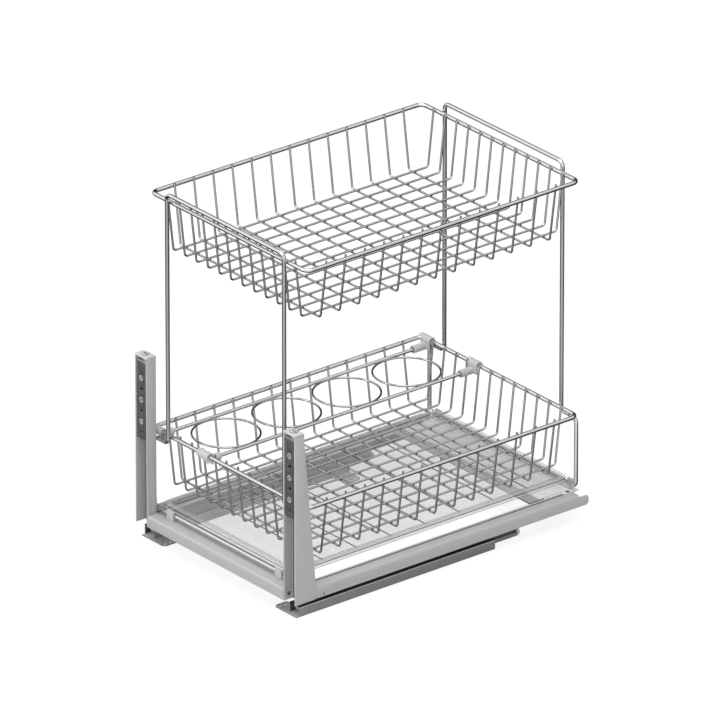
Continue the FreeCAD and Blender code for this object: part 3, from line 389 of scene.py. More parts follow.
def mark_edges(mesh, degrees):
    """Smooth faces, with the edges that turn more than the given angle kept sharp."""
    limit = math.radians(degrees)
    work = bmesh.new()
    work.from_mesh(mesh)
    for face in work.faces:
        face.smooth = True
    for edge in work.edges:
        edge.smooth = len(edge.link_faces) == 2 and edge.calc_face_angle(0.0) < limit
    work.to_mesh(mesh)
    work.free()


def joined(name, meshes):
    """One mesh of several that share one finish."""
    work = bmesh.new()
    for mesh in meshes:
        work.from_mesh(mesh)
    made = bpy.data.meshes.new(name)
    work.to_mesh(made)
    work.free()
    wear_finish(made, meshes[0].materials[0])
    return made


def place(name, mesh, node):
    """Puts a finished mesh in for a CAD node: it rides on the node's body."""
    piece = new_object(name, mesh)
    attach(piece, frame["nodes"][node]["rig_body"])
    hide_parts(node)


def merged_copy(node, cuts=()):
    """A CAD node's mesh with its triangles joined and its faces parted at the cuts.

    Each cut is an axis and a place on it.
    """
    work = bmesh.new()
    work.from_mesh(frame["nodes"][node].data)
    bmesh.ops.remove_doubles(work, verts=work.verts, dist=MERGE_GAP)
    bmesh.ops.dissolve_limit(work, angle_limit=math.radians(FLAT_ANGLE), verts=work.verts,
                             edges=work.edges)
    for axis, where in cuts:
        across = Vector(float(i == axis) for i in range(3))
        bmesh.ops.bisect_plane(work, geom=work.verts[:] + work.edges[:] + work.faces[:],
                               plane_co=across * where, plane_no=across)
    mesh = bpy.data.meshes.new(node + "_copy")
    work.to_mesh(mesh)
    work.free()
    return mesh


def add_modifier(source, kind, **values):
    made = source.modifiers.new(kind.capitalize(), kind)
    for name, value in values.items():
        setattr(made, name, value)


def even_painted_shades(pale=0.0):
    """Painted shade on a sheet's rounded edges and one level of painted light on its flat faces.
    """
    return lambda face, rounded: (1.0, 0.0) if rounded else (0.0, pale)


painted_dark_edges = even_painted_shades()


def soft_sheet(node, slot, edge, shades=painted_dark_edges, cuts=(), steps=2):
    """A sheet steel node with its sharp edges rounded, in its finish.

    The shades function gives each face its painted shade and painted light, and the cuts
    part the faces where these change.
    """
    finish = finish_named(slot)
    source = new_object(node + "_source", merged_copy(node, cuts))
    wear_finish(source.data, finish)
    source.data.materials.append(finish)
    add_modifier(source, "BEVEL", width=edge, segments=steps, limit_method="ANGLE",
                 angle_limit=math.radians(ROUNDED_ANGLE), use_clamp_overlap=True, material=1)
    mesh = evaluated(source, node + "_soft")
    for i, name in enumerate(("edge", "pale")):
        store_tone(mesh, lambda face: shades(face, face.material_index == 1)[i], name)
    wear_finish(mesh, finish)
    mark_edges(mesh, SHEET_SHARP)
    place(node + "_sheet", mesh, node)


def moulded(name, node, slot, grain, tone=None, ease=0.5, passes=4, keep=0.3):
    """A plastic node with the rounded skin of a moulded piece."""
    source = new_object(node + "_source", merged_copy(node))
    add_modifier(source, "REMESH", mode="VOXEL", voxel_size=grain)
    add_modifier(source, "SMOOTH", factor=ease, iterations=passes)
    add_modifier(source, "DECIMATE", ratio=keep)
    mesh = evaluated(source, node + "_moulded")
    wear_finish(mesh, finish_named(slot))
    for face in mesh.polygons:
        face.use_smooth = True
    if tone is not None:
        store_tone(mesh, tone)
    place(name, mesh, node)


def lathe(name, profile, steps):
    """Closed round piece about Z; the profile runs from its lower to its upper pole."""
    points = [(0.0, 0.0, profile[0][1])]
    for radius, height in profile[1:-1]:
        for i in range(steps):
            angle = 2 * math.pi * i / steps
            points.append((radius * math.cos(angle), radius * math.sin(angle), height))
    points.append((0.0, 0.0, profile[-1][1]))
    rings = len(profile) - 2
    faces = []
    for i in range(steps):
        after = (i + 1) % steps
        faces.append((0, 1 + after, 1 + i))
        for ring in range(rings - 1):
            low, high = 1 + ring * steps, 1 + (ring + 1) * steps
            faces.append((low + i, low + after, high + after, high + i))
        last = 1 + (rings - 1) * steps
        faces.append((last + i, last + after, len(points) - 1))
    return mesh_of(name, points, (), faces)


def set_on_seats(name, piece_mesh, seats, slot):
    """Copies of a small piece on the given points, as one mesh."""
    template = new_object(name + "_template", piece_mesh)
    mesh = grown("Pieces on seats", name, mesh_of("seats", seats), slot, piece=template)
    bpy.data.objects.remove(template)
    return mesh


def spaced(first, last, count):
    return [first + (last - first) * i / (count - 1) for i in range(count)]


# Finishes

def mixed(tree, share, first, second):
    """A colour between two others."""
    made = put(tree, "ShaderNodeMix", {0: share, 6: first, 7: second}, data_type="RGBA")
    return made.outputs[2]


def remapped(tree, value, **limits):
    """A value brought from one range to another; limits that aren't given are 0 and 1."""
    inputs = {key.replace("_", " ").title(): limit for key, limit in limits.items()}
    return put(tree, "ShaderNodeMapRange", {"Value": value, **inputs}).outputs[0]


def stored_tone(tree, name):
    return put(tree, "ShaderNodeAttribute", attribute_name=name).outputs["Fac"]


def either_ray(tree, first, second):
    """1 for rays of either of two kinds."""
    path = put(tree, "ShaderNodeLightPath")
    return put(tree, "ShaderNodeMath", {0: path.outputs[first], 1: path.outputs[second]},
               operation="MAXIMUM").outputs[0]


def grey(level, blue=1.0):
    """A grey for a colour input, with more or less blue."""
    return (level, level, level * blue, 1.0)


def shaded(base, shade):
    return (*(channel * shade for channel in base), 1.0)


def grain_group(name):
    """Fine surface grain, stretched along an axis."""
    inputs = {"Scale": "Float", "Stretch": "Vector"}
    tree, given = new_group(name, "ShaderNodeTree", inputs, {"Height": "Float"})
    where = put(tree, "ShaderNodeTexCoord").outputs["Object"]
    stretched = put(tree, "ShaderNodeVectorMath", {0: where, 1: given["Stretch"]},
                    operation="MULTIPLY")
    noise = put(tree, "ShaderNodeTexNoise", {
        "Vector": stretched.outputs[0], "Scale": given["Scale"], "Detail": 4.0,
        "Roughness": 0.55})
    put(tree, "NodeGroupOutput", {"Height": noise.outputs["Fac"]})


def tone_group(name):
    """Broad uneven tone, as plating, coating and handling leave it."""
    tree, given = new_group(name, "ShaderNodeTree", {
        "Colour": "Color", "Second colour": "Color", "Scale": "Float",
        "Least roughness": "Float", "Most roughness": "Float"},
        {"Colour": "Color", "Roughness": "Float"})
    where = put(tree, "ShaderNodeTexCoord").outputs["Object"]
    cloud = put(tree, "ShaderNodeTexNoise", {
        "Vector": where, "Scale": given["Scale"], "Detail": 6.0, "Roughness": 0.6,
        "Distortion": 0.4})
    mask = remapped(tree, cloud.outputs["Fac"], from_min=0.3, from_max=0.7)
    tone = mixed(tree, mask, given["Colour"], given["Second colour"])
    least, most = given["Least roughness"], given["Most roughness"]
    rough = remapped(tree, mask, to_min=least, to_max=most)
    put(tree, "NodeGroupOutput", {"Colour": tone, "Roughness": rough})


SHADER_GROUPS = {"Surface grain": grain_group, "Uneven tone": tone_group}


def shader_group(tree, name, inputs):
    """Places a shared group in a material, made on its first use."""
    if name not in bpy.data.node_groups:
        SHADER_GROUPS[name](name)
    item = tree.nodes.new("ShaderNodeGroup")
    item.node_tree = bpy.data.node_groups[name]
    return feed(tree, item, inputs)


def finish_material(name, hue, shade, roughness, grain, metallic=0.0, stretch=(1.0, 1.0, 1.0),
                    relief=0.02, tone_scale=25.0, painted_shade_tone=None, painted_light_tone=None, cover=None):
    """A finish: two close tones, uneven gloss, a fine relief, painted shade and painted light.

    The cover is how much a clear piece hides: by its faces, by its edges and to soft light.
    """
    base = getattr(bpy.context.scene.pantry_finishes, hue)
    material = bpy.data.materials.new(name)
    material.use_nodes = True
    tree = material.node_tree
    tone = shader_group(tree, "Uneven tone", {
        "Colour": shaded(base, 1.0), "Second colour": shaded(base, shade), "Scale": tone_scale,
        "Least roughness": roughness[0], "Most roughness": roughness[1]})
    fine = shader_group(tree, "Surface grain", {"Scale": grain, "Stretch": stretch})
    bump = put(tree, "ShaderNodeBump", {
        "Height": fine.outputs["Height"], "Strength": 0.6, "Distance": relief * MM})
    coat = tone.outputs["Colour"]
    # Painted light: the stored "pale" tone lightens the colour towards a pale grey
    if painted_light_tone is not None:
        coat = mixed(tree, stored_tone(tree, "pale"), coat, grey(painted_light_tone))
    # Painted shade: the stored "edge" tone darkens the colour towards a shaded copy of it
    if painted_shade_tone is not None:
        coat = mixed(tree, stored_tone(tree, "edge"), coat, shaded(base, painted_shade_tone))
    shader = feed(tree, tree.nodes["Principled BSDF"], {
        "Base Color": coat, "Roughness": tone.outputs["Roughness"],
        "Normal": bump.outputs[0], "Metallic": metallic})
    if cover is not None:
        by_faces, by_edges, to_light = cover
        seen = remapped(tree, stored_tone(tree, "edge"), to_min=by_faces, to_max=by_edges)
        soft = either_ray(tree, "Is Shadow Ray", "Is Diffuse Ray")
        alpha = put(tree, "ShaderNodeMix", {0: soft, 2: seen, 3: to_light})
        feed(tree, shader, {"Alpha": alpha.outputs[0]})


# painted_shade_tone is the colour that painted shade darkens towards, painted_light_tone the grey
# that painted light lightens towards
FINISHES = {
    "chromed_wire": dict(
        hue="chrome", shade=0.90, roughness=(0.10, 0.20), grain=1400.0, metallic=1.0,
        relief=0.004, tone_scale=40.0, painted_shade_tone=0.15),
    "frame_paint": dict(
        hue="paint", shade=0.97, roughness=(0.36, 0.44), grain=900.0, relief=0.03,
        painted_shade_tone=0.04, painted_light_tone=0.95),
    "zinc_steel": dict(
        hue="zinc", shade=0.88, roughness=(0.34, 0.5), grain=420.0, metallic=0.2,
        stretch=(1.0, 0.06, 1.0), relief=0.01, tone_scale=60.0, painted_shade_tone=0.04,
        painted_light_tone=0.85),
    "dark_plate": dict(
        hue="dark_zinc", shade=0.72, roughness=(0.30, 0.46), grain=700.0, metallic=0.4,
        stretch=(1.0, 1.0, 0.05), relief=0.01, tone_scale=70.0, painted_shade_tone=0.2, painted_light_tone=0.9),
    "bright_steel": dict(
        hue="bright_zinc", shade=0.88, roughness=(0.2, 0.35), grain=1200.0, metallic=0.25,
        relief=0.006, tone_scale=90.0, painted_shade_tone=0.1),
    "cage_steel": dict(
        hue="strip", shade=0.86, roughness=(0.3, 0.45), grain=600.0, metallic=0.8,
        stretch=(1.0, 0.06, 1.0), relief=0.008),
    "ball_steel": dict(
        hue="bright_zinc", shade=0.94, roughness=(0.05, 0.1), grain=1500.0, metallic=1.0,
        relief=0.001),
    "grey_plastic": dict(hue="plastic", shade=0.965, roughness=(0.38, 0.5), grain=1500.0),
    "cap_plastic": dict(
        hue="cap", shade=0.965, roughness=(0.36, 0.48), grain=1500.0, painted_shade_tone=0.1),
    "white_nylon": dict(hue="nylon", shade=0.97, roughness=(0.4, 0.5), grain=1200.0),
    # The tray's "edge" tone makes its rounds and ribs more opaque and darker; the darkening is
    # painted shade
    "clear_tray": dict(
        hue="tray", shade=0.96, roughness=(0.22, 0.34), grain=800.0, relief=0.01,
        painted_shade_tone=0.1, cover=(0.29, 0.75, 0.04)),
}


def finish_named(slot):
    """The finish for a slot, made on its first use."""
    name = slot + "_finish"
    if name not in bpy.data.materials:
        finish_material(name, **FINISHES[slot])
    return bpy.data.materials[name]


# Pieces

def rim_piece(level, wires):
    """Closed rim wire of one basket."""
    node = level + "_basket_rim"
    low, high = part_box(node)
    radius = (high.z - low.z) / 2
    middle = (low + high) / 2
    x, y = (high.x - low.x) / 2 - radius, (high.y - low.y) / 2 - radius
    corners = [(x, y), (-x, y), (-x, -y), (x, -y)]
    points = [(middle.x + a, middle.y + b, middle.z) for a, b in corners]
    mesh = wire_mesh(node, points, radius, wires.sides, wires.rim_bend, wires.bend_steps, True)
    place(level + "_rim_wire", mesh, node)


def basket_floor(level):
    """Boxes of the cross wires and the long wires above them, and the radius of both."""
    cross, along = (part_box("%s_basket_%s_wires" % (level, kind)) for kind in ("cross", "long"))
    return cross, along, (along[0].z - cross[0].z) / 2


def grid_mesh(level, node, along, count, lean_run, wires):
    """Row of U-shaped grid wires; along is the axis index in which they are spread."""
    across = 1 - along
    low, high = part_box(node)
    rim_low, rim_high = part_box(level + "_basket_rim")
    cross, _, radius = basket_floor(level)
    slope = lean_run / ((rim_low.z + rim_high.z) / 2 - cross[0].z - radius)
    lean = math.atan(slope)
    half_tip = (high[across] - low[across]) / 2 - radius * math.cos(lean)
    tip_z = high.z - radius * math.sin(lean)
    low_z = low.z + radius
    half_low = half_tip - slope * (tip_z - low_z)
    middle = (low[across] + high[across]) / 2
    outline = [(-half_tip, tip_z), (-half_low, low_z), (half_low, low_z), (half_tip, tip_z)]
    points = []
    for offset, height in outline:
        point = [0.0, 0.0, height]
        point[across] = middle + offset
        point[along] = low[along] + radius
        points.append(point)
    step = [0.0, 0.0, 0.0]
    step[along] = (high[along] - low[along] - 2 * radius) / (count - 1)
    mesh = wire_mesh(node, points, radius, wires.grid_sides, wires.grid_bend,
                     wires.bend_steps // 2 + 1, copies=count, step=step)
    mark_edges(mesh, WIRE_SHARP)
    # Painted shade: darker chrome on the thin wires, for darker reflections
    store_tone(mesh, lambda face: wires.grid_painted_shade)
    return mesh


def weld_spots(level, wires, shoulder=0.7, steps=8):
    """Flat weld spots where the grid wires cross in the basket's floor."""
    cross, along, radius = basket_floor(level)
    height = cross[0].z + 2 * radius
    rows = spaced(cross[0].y + radius, cross[1].y - radius, wires.cross_count)
    columns = spaced(along[0].x + radius, along[1].x - radius, wires.long_count)
    seats = [(x, y, height) for y in rows for x in columns]
    half, rise = wires.weld_width / 2, wires.weld_height / 2
    profile = [(0.0, -rise), (half * shoulder, -rise * shoulder), (half, 0.0),
               (half * shoulder, rise * shoulder), (0.0, rise)]
    spot = lathe("weld_spot", profile, steps)
    mesh = set_on_seats(level + "_weld_spots", spot, seats, "chromed_wire")
    # Full "edge" tone on the weld spots: partly their dull weld metal, partly painted shade where
    # the wires touch
    store_tone(mesh, lambda face: 1.0)
    return mesh


class PANTRY_OT_baskets(Operator):
    """Bend the rims and the grid wires of both baskets"""
    bl_idname = "pantry.baskets"
    bl_label = "Baskets"

    def execute(self, context):
        wires = context.scene.pantry_wires
        for level in LEVELS:
            rim_piece(level, wires)
            node = level + "_basket_cross_wires"
            mesh = grid_mesh(level, node, 1, wires.cross_count, wires.side_lean, wires)
            place(level + "_cross_wires", joined(node, [mesh, weld_spots(level, wires)]), node)
            node = level + "_basket_long_wires"
            mesh = grid_mesh(level, node, 0, wires.long_count, wires.end_lean, wires)
            place(level + "_long_wires", mesh, node)
        return {"FINISHED"}


def painted_post_shade(low, high, wires):
    """Painted shade along the posts, darkening their reflections and fading out within four bend
    radii of either end.
    """
    def tone(face):
        reach = min(face.center.z - low, high - face.center.z) / (4 * wires.support_bend)
        return wires.post_painted_shade * min(1.0, max(0.0, reach))
    return tone


class PANTRY_OT_support_wires(Operator):
    """Bend the two support wires"""
    bl_idname = "pantry.support_wires"
    bl_label = "Support wires"

    def execute(self, context):
        wires = context.scene.pantry_wires
        jog_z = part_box("lower_basket_rim")[0].z - wires.jog_drop
        for end in ("front", "rear"):
            node = "support_wire_" + end
            low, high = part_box(node)
            radius = (high.y - low.y) / 2
            middle_y = (low.y + high.y) / 2
            foot, post = high.x - radius, wires.post_spacing / 2
            bottom, top = low.z + radius, high.z - radius
            right = [(foot, bottom), (foot, jog_z), (post, jog_z), (post, top)]
            left = [(-x, z) for x, z in reversed(right)]
            points = [(x, middle_y, z) for x, z in right + left]
            mesh = wire_mesh(node, points, radius, wires.sides, wires.support_bend,
                             wires.bend_steps, True)
            # Painted shade on the posts, for darker reflections
            store_tone(mesh, painted_post_shade(jog_z, top, wires))
            place(end + "_support_loop", mesh, node)
        return {"FINISHED"}


class PANTRY_OT_bottle_rack(Operator):
    """Make the rails, rings and fittings of the bottle rack"""
    bl_idname = "pantry.bottle_rack"
    bl_label = "Bottle rack"

    def execute(self, context):
        wires = context.scene.pantry_wires
        for row in ("outer", "inner"):
            node = "bottle_rail_" + row
            low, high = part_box(node)
            radius = (high.z - low.z) / 2
            x, z = (low.x + high.x) / 2, (low.z + high.z) / 2
            mesh = wire_mesh(node, [(x, low.y, z), (x, high.y, z)], radius, wires.sides)
            mark_edges(mesh, WIRE_SHARP)
            place("rack_rail_" + row, mesh, node)
        low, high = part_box("bottle_rings")
        outer, radius = (high.x - low.x) / 2, (high.z - low.z) / 2
        gap = (high.y - low.y - 2 * outer) / (wires.ring_count - 1)
        start = Vector(((low.x + high.x) / 2, low.y + outer, (low.z + high.z) / 2))
        mesh = grown("Rings in a row", "bottle_rings", mesh_of("empty", []), "chromed_wire",
                     ring_radius=outer - radius, ring_steps=wires.ring_steps,
                     wire_radius=radius, sides=wires.grid_sides, copies=wires.ring_count,
                     start=start, step=(0.0, gap, 0.0))
        # Painted shade on the rings, for darker reflections
        store_tone(mesh, lambda face: wires.post_painted_shade)
        place("rack_rings", mesh, "bottle_rings")
        grain = context.scene.pantry_shapes.mould_grain
        for corner in ("front_outer", "front_inner", "rear_outer", "rear_inner"):
            moulded("rack_fitting_" + corner, "bottle_fitting_" + corner, "grey_plastic", grain)
        return {"FINISHED"}


class PANTRY_OT_wire_clips(Operator):
    """Mould the clips that hold the support wires down"""
    bl_idname = "pantry.wire_clips"
    bl_label = "Wire clips"

    def execute(self, context):
        grain = context.scene.pantry_shapes.mould_grain
        for half in ("bases", "caps"):
            moulded("clip_" + half, "wire_clip_" + half, "grey_plastic", grain)
        return {"FINISHED"}


def plan_ring(half_x, half_y, radius, centre_y, z, steps):
    """Level rounded rectangle, as points in one turn."""
    points = []
    for k, (sign_x, sign_y) in enumerate(((1, 1), (-1, 1), (-1, -1), (1, -1))):
        centre_x = sign_x * (half_x - radius)
        corner_y = centre_y + sign_y * (half_y - radius)
        for i in range(steps + 1):
            angle = math.pi / 2 * (k + i / steps)
            x, y = centre_x + radius * math.cos(angle), corner_y + radius * math.sin(angle)
            points.append((x, y, z))
    return points


def rounded_profile(corners, edge, steps=3):
    """Open outline of (inset, height) corners, each inner corner rounded.

    Gives the points, and for each whether the run that starts there is part of a rounding.
    """
    points, turning = [Vector(corners[0])], [False]
    for before, corner, after in zip(corners, corners[1:], corners[2:]):
        corner = Vector(corner)
        start = corner + (Vector(before) - corner).normalized() * edge
        end = corner + (Vector(after) - corner).normalized() * edge
        for i in range(steps + 1):
            share = i / steps
            inner = start.lerp(corner, share)
            outer = corner.lerp(end, share)
            points.append(inner.lerp(outer, share))
            turning.append(i < steps)
    points.append(Vector(corners[-1]))
    turning.append(False)
    return points, turning


def tray_mesh(shapes, steps=8, least_corner=1.0 * MM):
    """Shallow tray: thin floor, raised hollow border with rounded edges."""
    low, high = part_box("drip_tray")
    half_x, half_y = (high.x - low.x) / 2, (high.y - low.y) / 2
    centre_y = (low.y + high.y) / 2
    wall, border, edge = shapes.tray_wall, shapes.tray_border, shapes.tray_edge
    floor = low.z + wall
    top_side, top_turns = rounded_profile([
        (wall, low.z), (0.0, low.z), (0.0, high.z), (border, high.z), (border, floor),
        (border + 2 * wall, floor)], edge)
    under_side, under_turns = rounded_profile([
        (border + 2 * wall, low.z), (border - wall, low.z), (border - wall, high.z - wall),
        (wall, high.z - wall), (wall, low.z)], edge / 2)
    outline, turns = top_side + under_side, top_turns + under_turns
    count = 4 * (steps + 1)
    points, faces, edge_faces = [], [], []
    for inset, z in outline:
        radius = max(shapes.tray_corner - inset, least_corner)
        points += plan_ring(half_x - inset, half_y - inset, radius, centre_y, z, steps)
    floor_ring = len(top_side) - 1
    for ring in range(len(outline)):
        if ring == floor_ring:
            continue
        low_ring, high_ring = ring * count, (ring + 1) % len(outline) * count
        for i in range(count):
            after = (i + 1) % count
            faces.append((low_ring + i, low_ring + after, high_ring + after, high_ring + i))
            edge_faces.append(turns[ring])
    inner_top, inner_under = floor_ring * count, (floor_ring + 1) * count
    faces.append(tuple(inner_top + i for i in range(count)))
    faces.append(tuple(inner_under + i for i in reversed(range(count))))
    edge_faces += [False, False]
    mesh = mesh_of("drip_tray_skin", points, (), faces)
    # Rounded faces of the border get the "edge" tone: more opaque, and darkened as painted shade
    store_tone(mesh, lambda face: float(edge_faces[face.index]))
    work = bmesh.new()
    work.from_mesh(mesh)
    bmesh.ops.remove_doubles(work, verts=work.verts, dist=MERGE_GAP / 2)
    bmesh.ops.recalc_face_normals(work, faces=work.faces)
    work.to_mesh(mesh)
    work.free()
    wear_finish(mesh, finish_named("clear_tray"))
    mark_edges(mesh, TRAY_SHARP)
    return mesh


def tray_ribs(shapes, sides=10):
    """Low half-round ribs across the tray's floor."""
    low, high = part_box("drip_tray")
    floor = low.z + shapes.tray_wall
    half = (high.x - low.x) / 2 - shapes.tray_border - shapes.rib_width
    centre_y = (low.y + high.y) / 2
    start_y = centre_y - shapes.rib_pitch * (shapes.rib_count - 1) / 2
    sunk = shapes.rib_width / 2 - shapes.rib_height
    ends = [(-half, start_y, floor - sunk), (half, start_y, floor - sunk)]
    mesh = wire_mesh("tray_ribs", ends, shapes.rib_width / 2, sides, copies=shapes.rib_count,
                     step=(0.0, shapes.rib_pitch, 0.0), slot="clear_tray")
    # The ribs get the full "edge" tone: more opaque, and darkened as painted shade
    store_tone(mesh, lambda face: 1.0)
    return mesh


class PANTRY_OT_drip_tray(Operator):
    """Mould the drip tray with its border and ribs"""
    bl_idname = "pantry.drip_tray"
    bl_label = "Drip tray"

    def execute(self, context):
        shapes = context.scene.pantry_shapes
        mesh = joined("tray", [tray_mesh(shapes), tray_ribs(shapes)])
        place("tray", mesh, "drip_tray")
        return {"FINISHED"}


def side_rail_shades(shade_line, step, crease):
    """Side rail: painted shade at the foot of the flange's step and a painted highlight on the
    crease above it.
    """
    def shades(face, rounded):
        across = abs(face.center.x)
        # Painted shade at the foot of the step
        if shade_line < across < step and face.normal.z > FLAT_ON:
            return 1.0, 0.0
        # Painted highlight on the crease above the step
        if rounded and step < across < step + crease and face.normal.z > TURNED_TO:
            return 0.0, 1.0
        return painted_dark_edges(face, rounded)
    return shades


class PANTRY_OT_base_frame(Operator):
    """Ease the edges of the base frame's sheet steel and of its rivets"""
    bl_idname = "pantry.base_frame"
    bl_label = "Base frame"

    def execute(self, context):
        shapes = context.scene.pantry_shapes
        edge = shapes.sheet_edge
        soft_sheet("front_crossbar", "frame_paint", edge)
        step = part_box("side_rail_right")[0].x + shapes.strip_width
        shade_line = step - shapes.strip_shade_width
        for side, way in (("left", -1), ("right", 1)):
            soft_sheet("side_rail_" + side, "frame_paint", edge,
                       side_rail_shades(shade_line, step, shapes.crease_highlight_reach), [(0, way * shade_line)])
        # Painted light on the rear cross plate and the stiffener, which lie in the shade of the
        # tray and baskets
        soft_sheet("rear_cross_plate", "frame_paint", edge, even_painted_shades(shapes.rear_painted_light))
        soft_sheet("rear_stiffener", "zinc_steel", edge, even_painted_shades(shapes.stiffener_painted_light))
        # Painted shade on the rivets
        soft_sheet("frame_rivets", "frame_paint", shapes.plate_edge,
                   lambda face, rounded: (shapes.rivet_painted_shade, 0.0))
        return {"FINISHED"}


def upright_shades(shapes):
    """Upright: painted shade in the channel behind the door plate and on the rounded edges, and a
    painted highlight on the bend at the front.
    """
    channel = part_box("door_upright_left")[0].y + shapes.channel_depth

    def shades(face, rounded):
        # Painted highlight on the front bend, painted shade on the other rounded edges
        if rounded:
            bend = face.normal.y < -PARTLY_TO and abs(face.normal.x) > PARTLY_TO
            return (0.0, shapes.bend_painted_highlight) if bend else (1.0, 0.0)
        # Painted shade on the web behind the door plate
        behind = face.normal.y < -FLAT_ON and face.center.y > channel
        return (shapes.channel_painted_shade if behind else 0.0), 0.0
    return shades


def plate_shades(shapes):
    """Door plate: a painted highlight on its upper edge, painted shade on its other rounded edges.
    """
    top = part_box("door_plate_left")[1].z - shapes.plate_line

    def shades(face, rounded):
        # Painted highlight on the plate's upper edge
        highlighted = face.center.z > top and face.normal.z > TURNED_TO
        return (0.0, 1.0) if highlighted else painted_dark_edges(face, rounded)
    return shades


def cabinet_rail_shades(side, low_line, high_line, shapes):
    """Cabinet rail: painted shade above the race's lip and inside, painted light on the feet and a
    painted highlight line below the lip.
    """
    low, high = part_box("drawer_rail_" + side)

    def shades(face, rounded):
        # Painted shade on the top band above the lip
        if face.center.z > high_line:
            return 1.0, 0.0
        # Painted shade inside the rail
        if low.x - MM < face.center.x < high.x + MM:
            return shapes.slide_painted_shade, 0.0
        # Painted highlight line below the lip
        if face.center.z > low_line and abs(face.normal.x) > TURNED_TO:
            return 0.0, 1.0
        # Painted light on the feet
        if face.center.z < shapes.foot_top and face.normal.z > FLAT_ON:
            return 0.0, shapes.foot_painted_light
        return painted_dark_edges(face, rounded)
    return shades


class PANTRY_OT_door_brackets(Operator):
    """Make the uprights, door plates, nuts, caps and adjusters"""
    bl_idname = "pantry.door_brackets"
    bl_label = "Door brackets"

    def execute(self, context):
        shapes = context.scene.pantry_shapes
        upright, plate = upright_shades(shapes), plate_shades(shapes)
        for side in SIDES:
            soft_sheet("door_upright_" + side, "frame_paint", shapes.sheet_edge, upright)
            soft_sheet("door_plate_" + side, "dark_plate", shapes.plate_edge, plate)
            for piece in ("door_plate_nuts_", "adjuster_screw_"):
                soft_sheet(piece + side, "bright_steel", shapes.plate_edge)
            cap = "upright_cap_" + side
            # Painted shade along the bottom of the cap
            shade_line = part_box(cap)[0].z + shapes.cap_seam
            moulded(cap + "_moulding", cap, "cap_plastic", shapes.mould_grain,
                    lambda face: 1.0 if face.center.z < shade_line else 0.0)
        return {"FINISHED"}


def ball_rows(level, side, shapes, rings=10, steps=18):
    """Both rows of balls of one cage."""
    node = "%s_balls_%s" % (level, side)
    low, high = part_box(node)
    radius = shapes.ball_radius
    z = (low.z + high.z) / 2
    count = round((high.y - low.y - 2 * radius) / shapes.ball_pitch) + 1
    seats = [(x, y, z) for x in (low.x + radius, high.x - radius)
             for y in spaced(low.y + radius, high.y - radius, count)]
    angles = [math.pi * i / rings for i in range(rings + 1)]
    profile = [(radius * math.sin(angle), -radius * math.cos(angle)) for angle in angles]
    mesh = set_on_seats(node, lathe("ball", profile, steps), seats, "ball_steel")
    place("%s_bearing_balls_%s" % (level, side), mesh, node)


class PANTRY_OT_floor_slides(Operator):
    """Ease the edges of the slides' rails and fill their ball cages"""
    bl_idname = "pantry.floor_slides"
    bl_label = "Floor slides"

    def execute(self, context):
        shapes = context.scene.pantry_shapes
        edge = shapes.plate_edge
        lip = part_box("cabinet_rail_left")[1].z - shapes.lip_shade_height
        lines = (lip - shapes.lip_highlight_line, lip)
        cuts = [(2, height) for height in lines]
        for side in SIDES:
            soft_sheet("cabinet_rail_" + side, "zinc_steel", edge,
                       cabinet_rail_shades(side, *lines, shapes), cuts)
            soft_sheet("middle_rail_" + side, "zinc_steel", edge)
            # Painted shade all over the drawer rails
            soft_sheet("drawer_rail_" + side, "zinc_steel", edge,
                       lambda face, rounded: (shapes.slide_painted_shade, 0.0))
            soft_sheet("middle_rail_buffer_" + side, "white_nylon", edge)
            for level in reversed(LEVELS):
                cage = frame["nodes"]["%s_ball_cage_%s" % (level, side)]
                # The near-black cage finish paints the shade in the slides' gap
                for item in cage.material_slots:
                    item.link = "OBJECT"
                    item.material = finish_named("cage_steel")
                ball_rows(level, side, shapes)
        return {"FINISHED"}


# Stage

def camera_axes(stage):
    """The picture's right, up and backward directions."""
    a, e = stage.azimuth, stage.elevation
    right = Vector((math.cos(a), math.sin(a), 0.0))
    back = Vector((math.sin(a) * math.cos(e), -math.cos(a) * math.cos(e), math.sin(e)))
    return right, back.cross(right), back


def add_camera(stage):
    right, up, back = camera_axes(stage)
    pivot = Vector((0.0, stage.pivot_depth, stage.pivot_height))
    data = bpy.data.cameras.new("photo_camera")
    data.sensor_width = SENSOR_WIDTH
    data.lens = stage.lens_pixels / PHOTO_WIDTH * data.sensor_width
    data.clip_end = CLIP_END
    camera = new_object("photo_camera", data)
    camera.location = pivot + right * stage.aside + up * stage.above + back * stage.distance
    camera.rotation_euler = back.to_track_quat("Z", "Y").to_euler()
    bpy.context.scene.camera = camera


# What the lamps look at, and each lamp's name, power setting, size and place
LAMP_TARGET = (0.0, 0.0, 0.25)
LAMPS = (("top_lamp", "key_watts", 2.2, (0.3, -0.4, 3.6)),
         ("left_lamp", "left_watts", 1.4, (-1.2, -3.2, 1.8)),
         ("right_lamp", "right_watts", 1.2, (3.2, 0.4, 1.6)))


def add_lamps(stage):
    for name, watts, size, position in LAMPS:
        data = bpy.data.lights.new(name, "AREA")
        data.energy = getattr(stage, watts)
        data.size = size
        lamp = new_object(name, data)
        lamp.location = position
        away = Vector(position) - Vector(LAMP_TARGET)
        lamp.rotation_euler = away.to_track_quat("Z", "Y").to_euler()


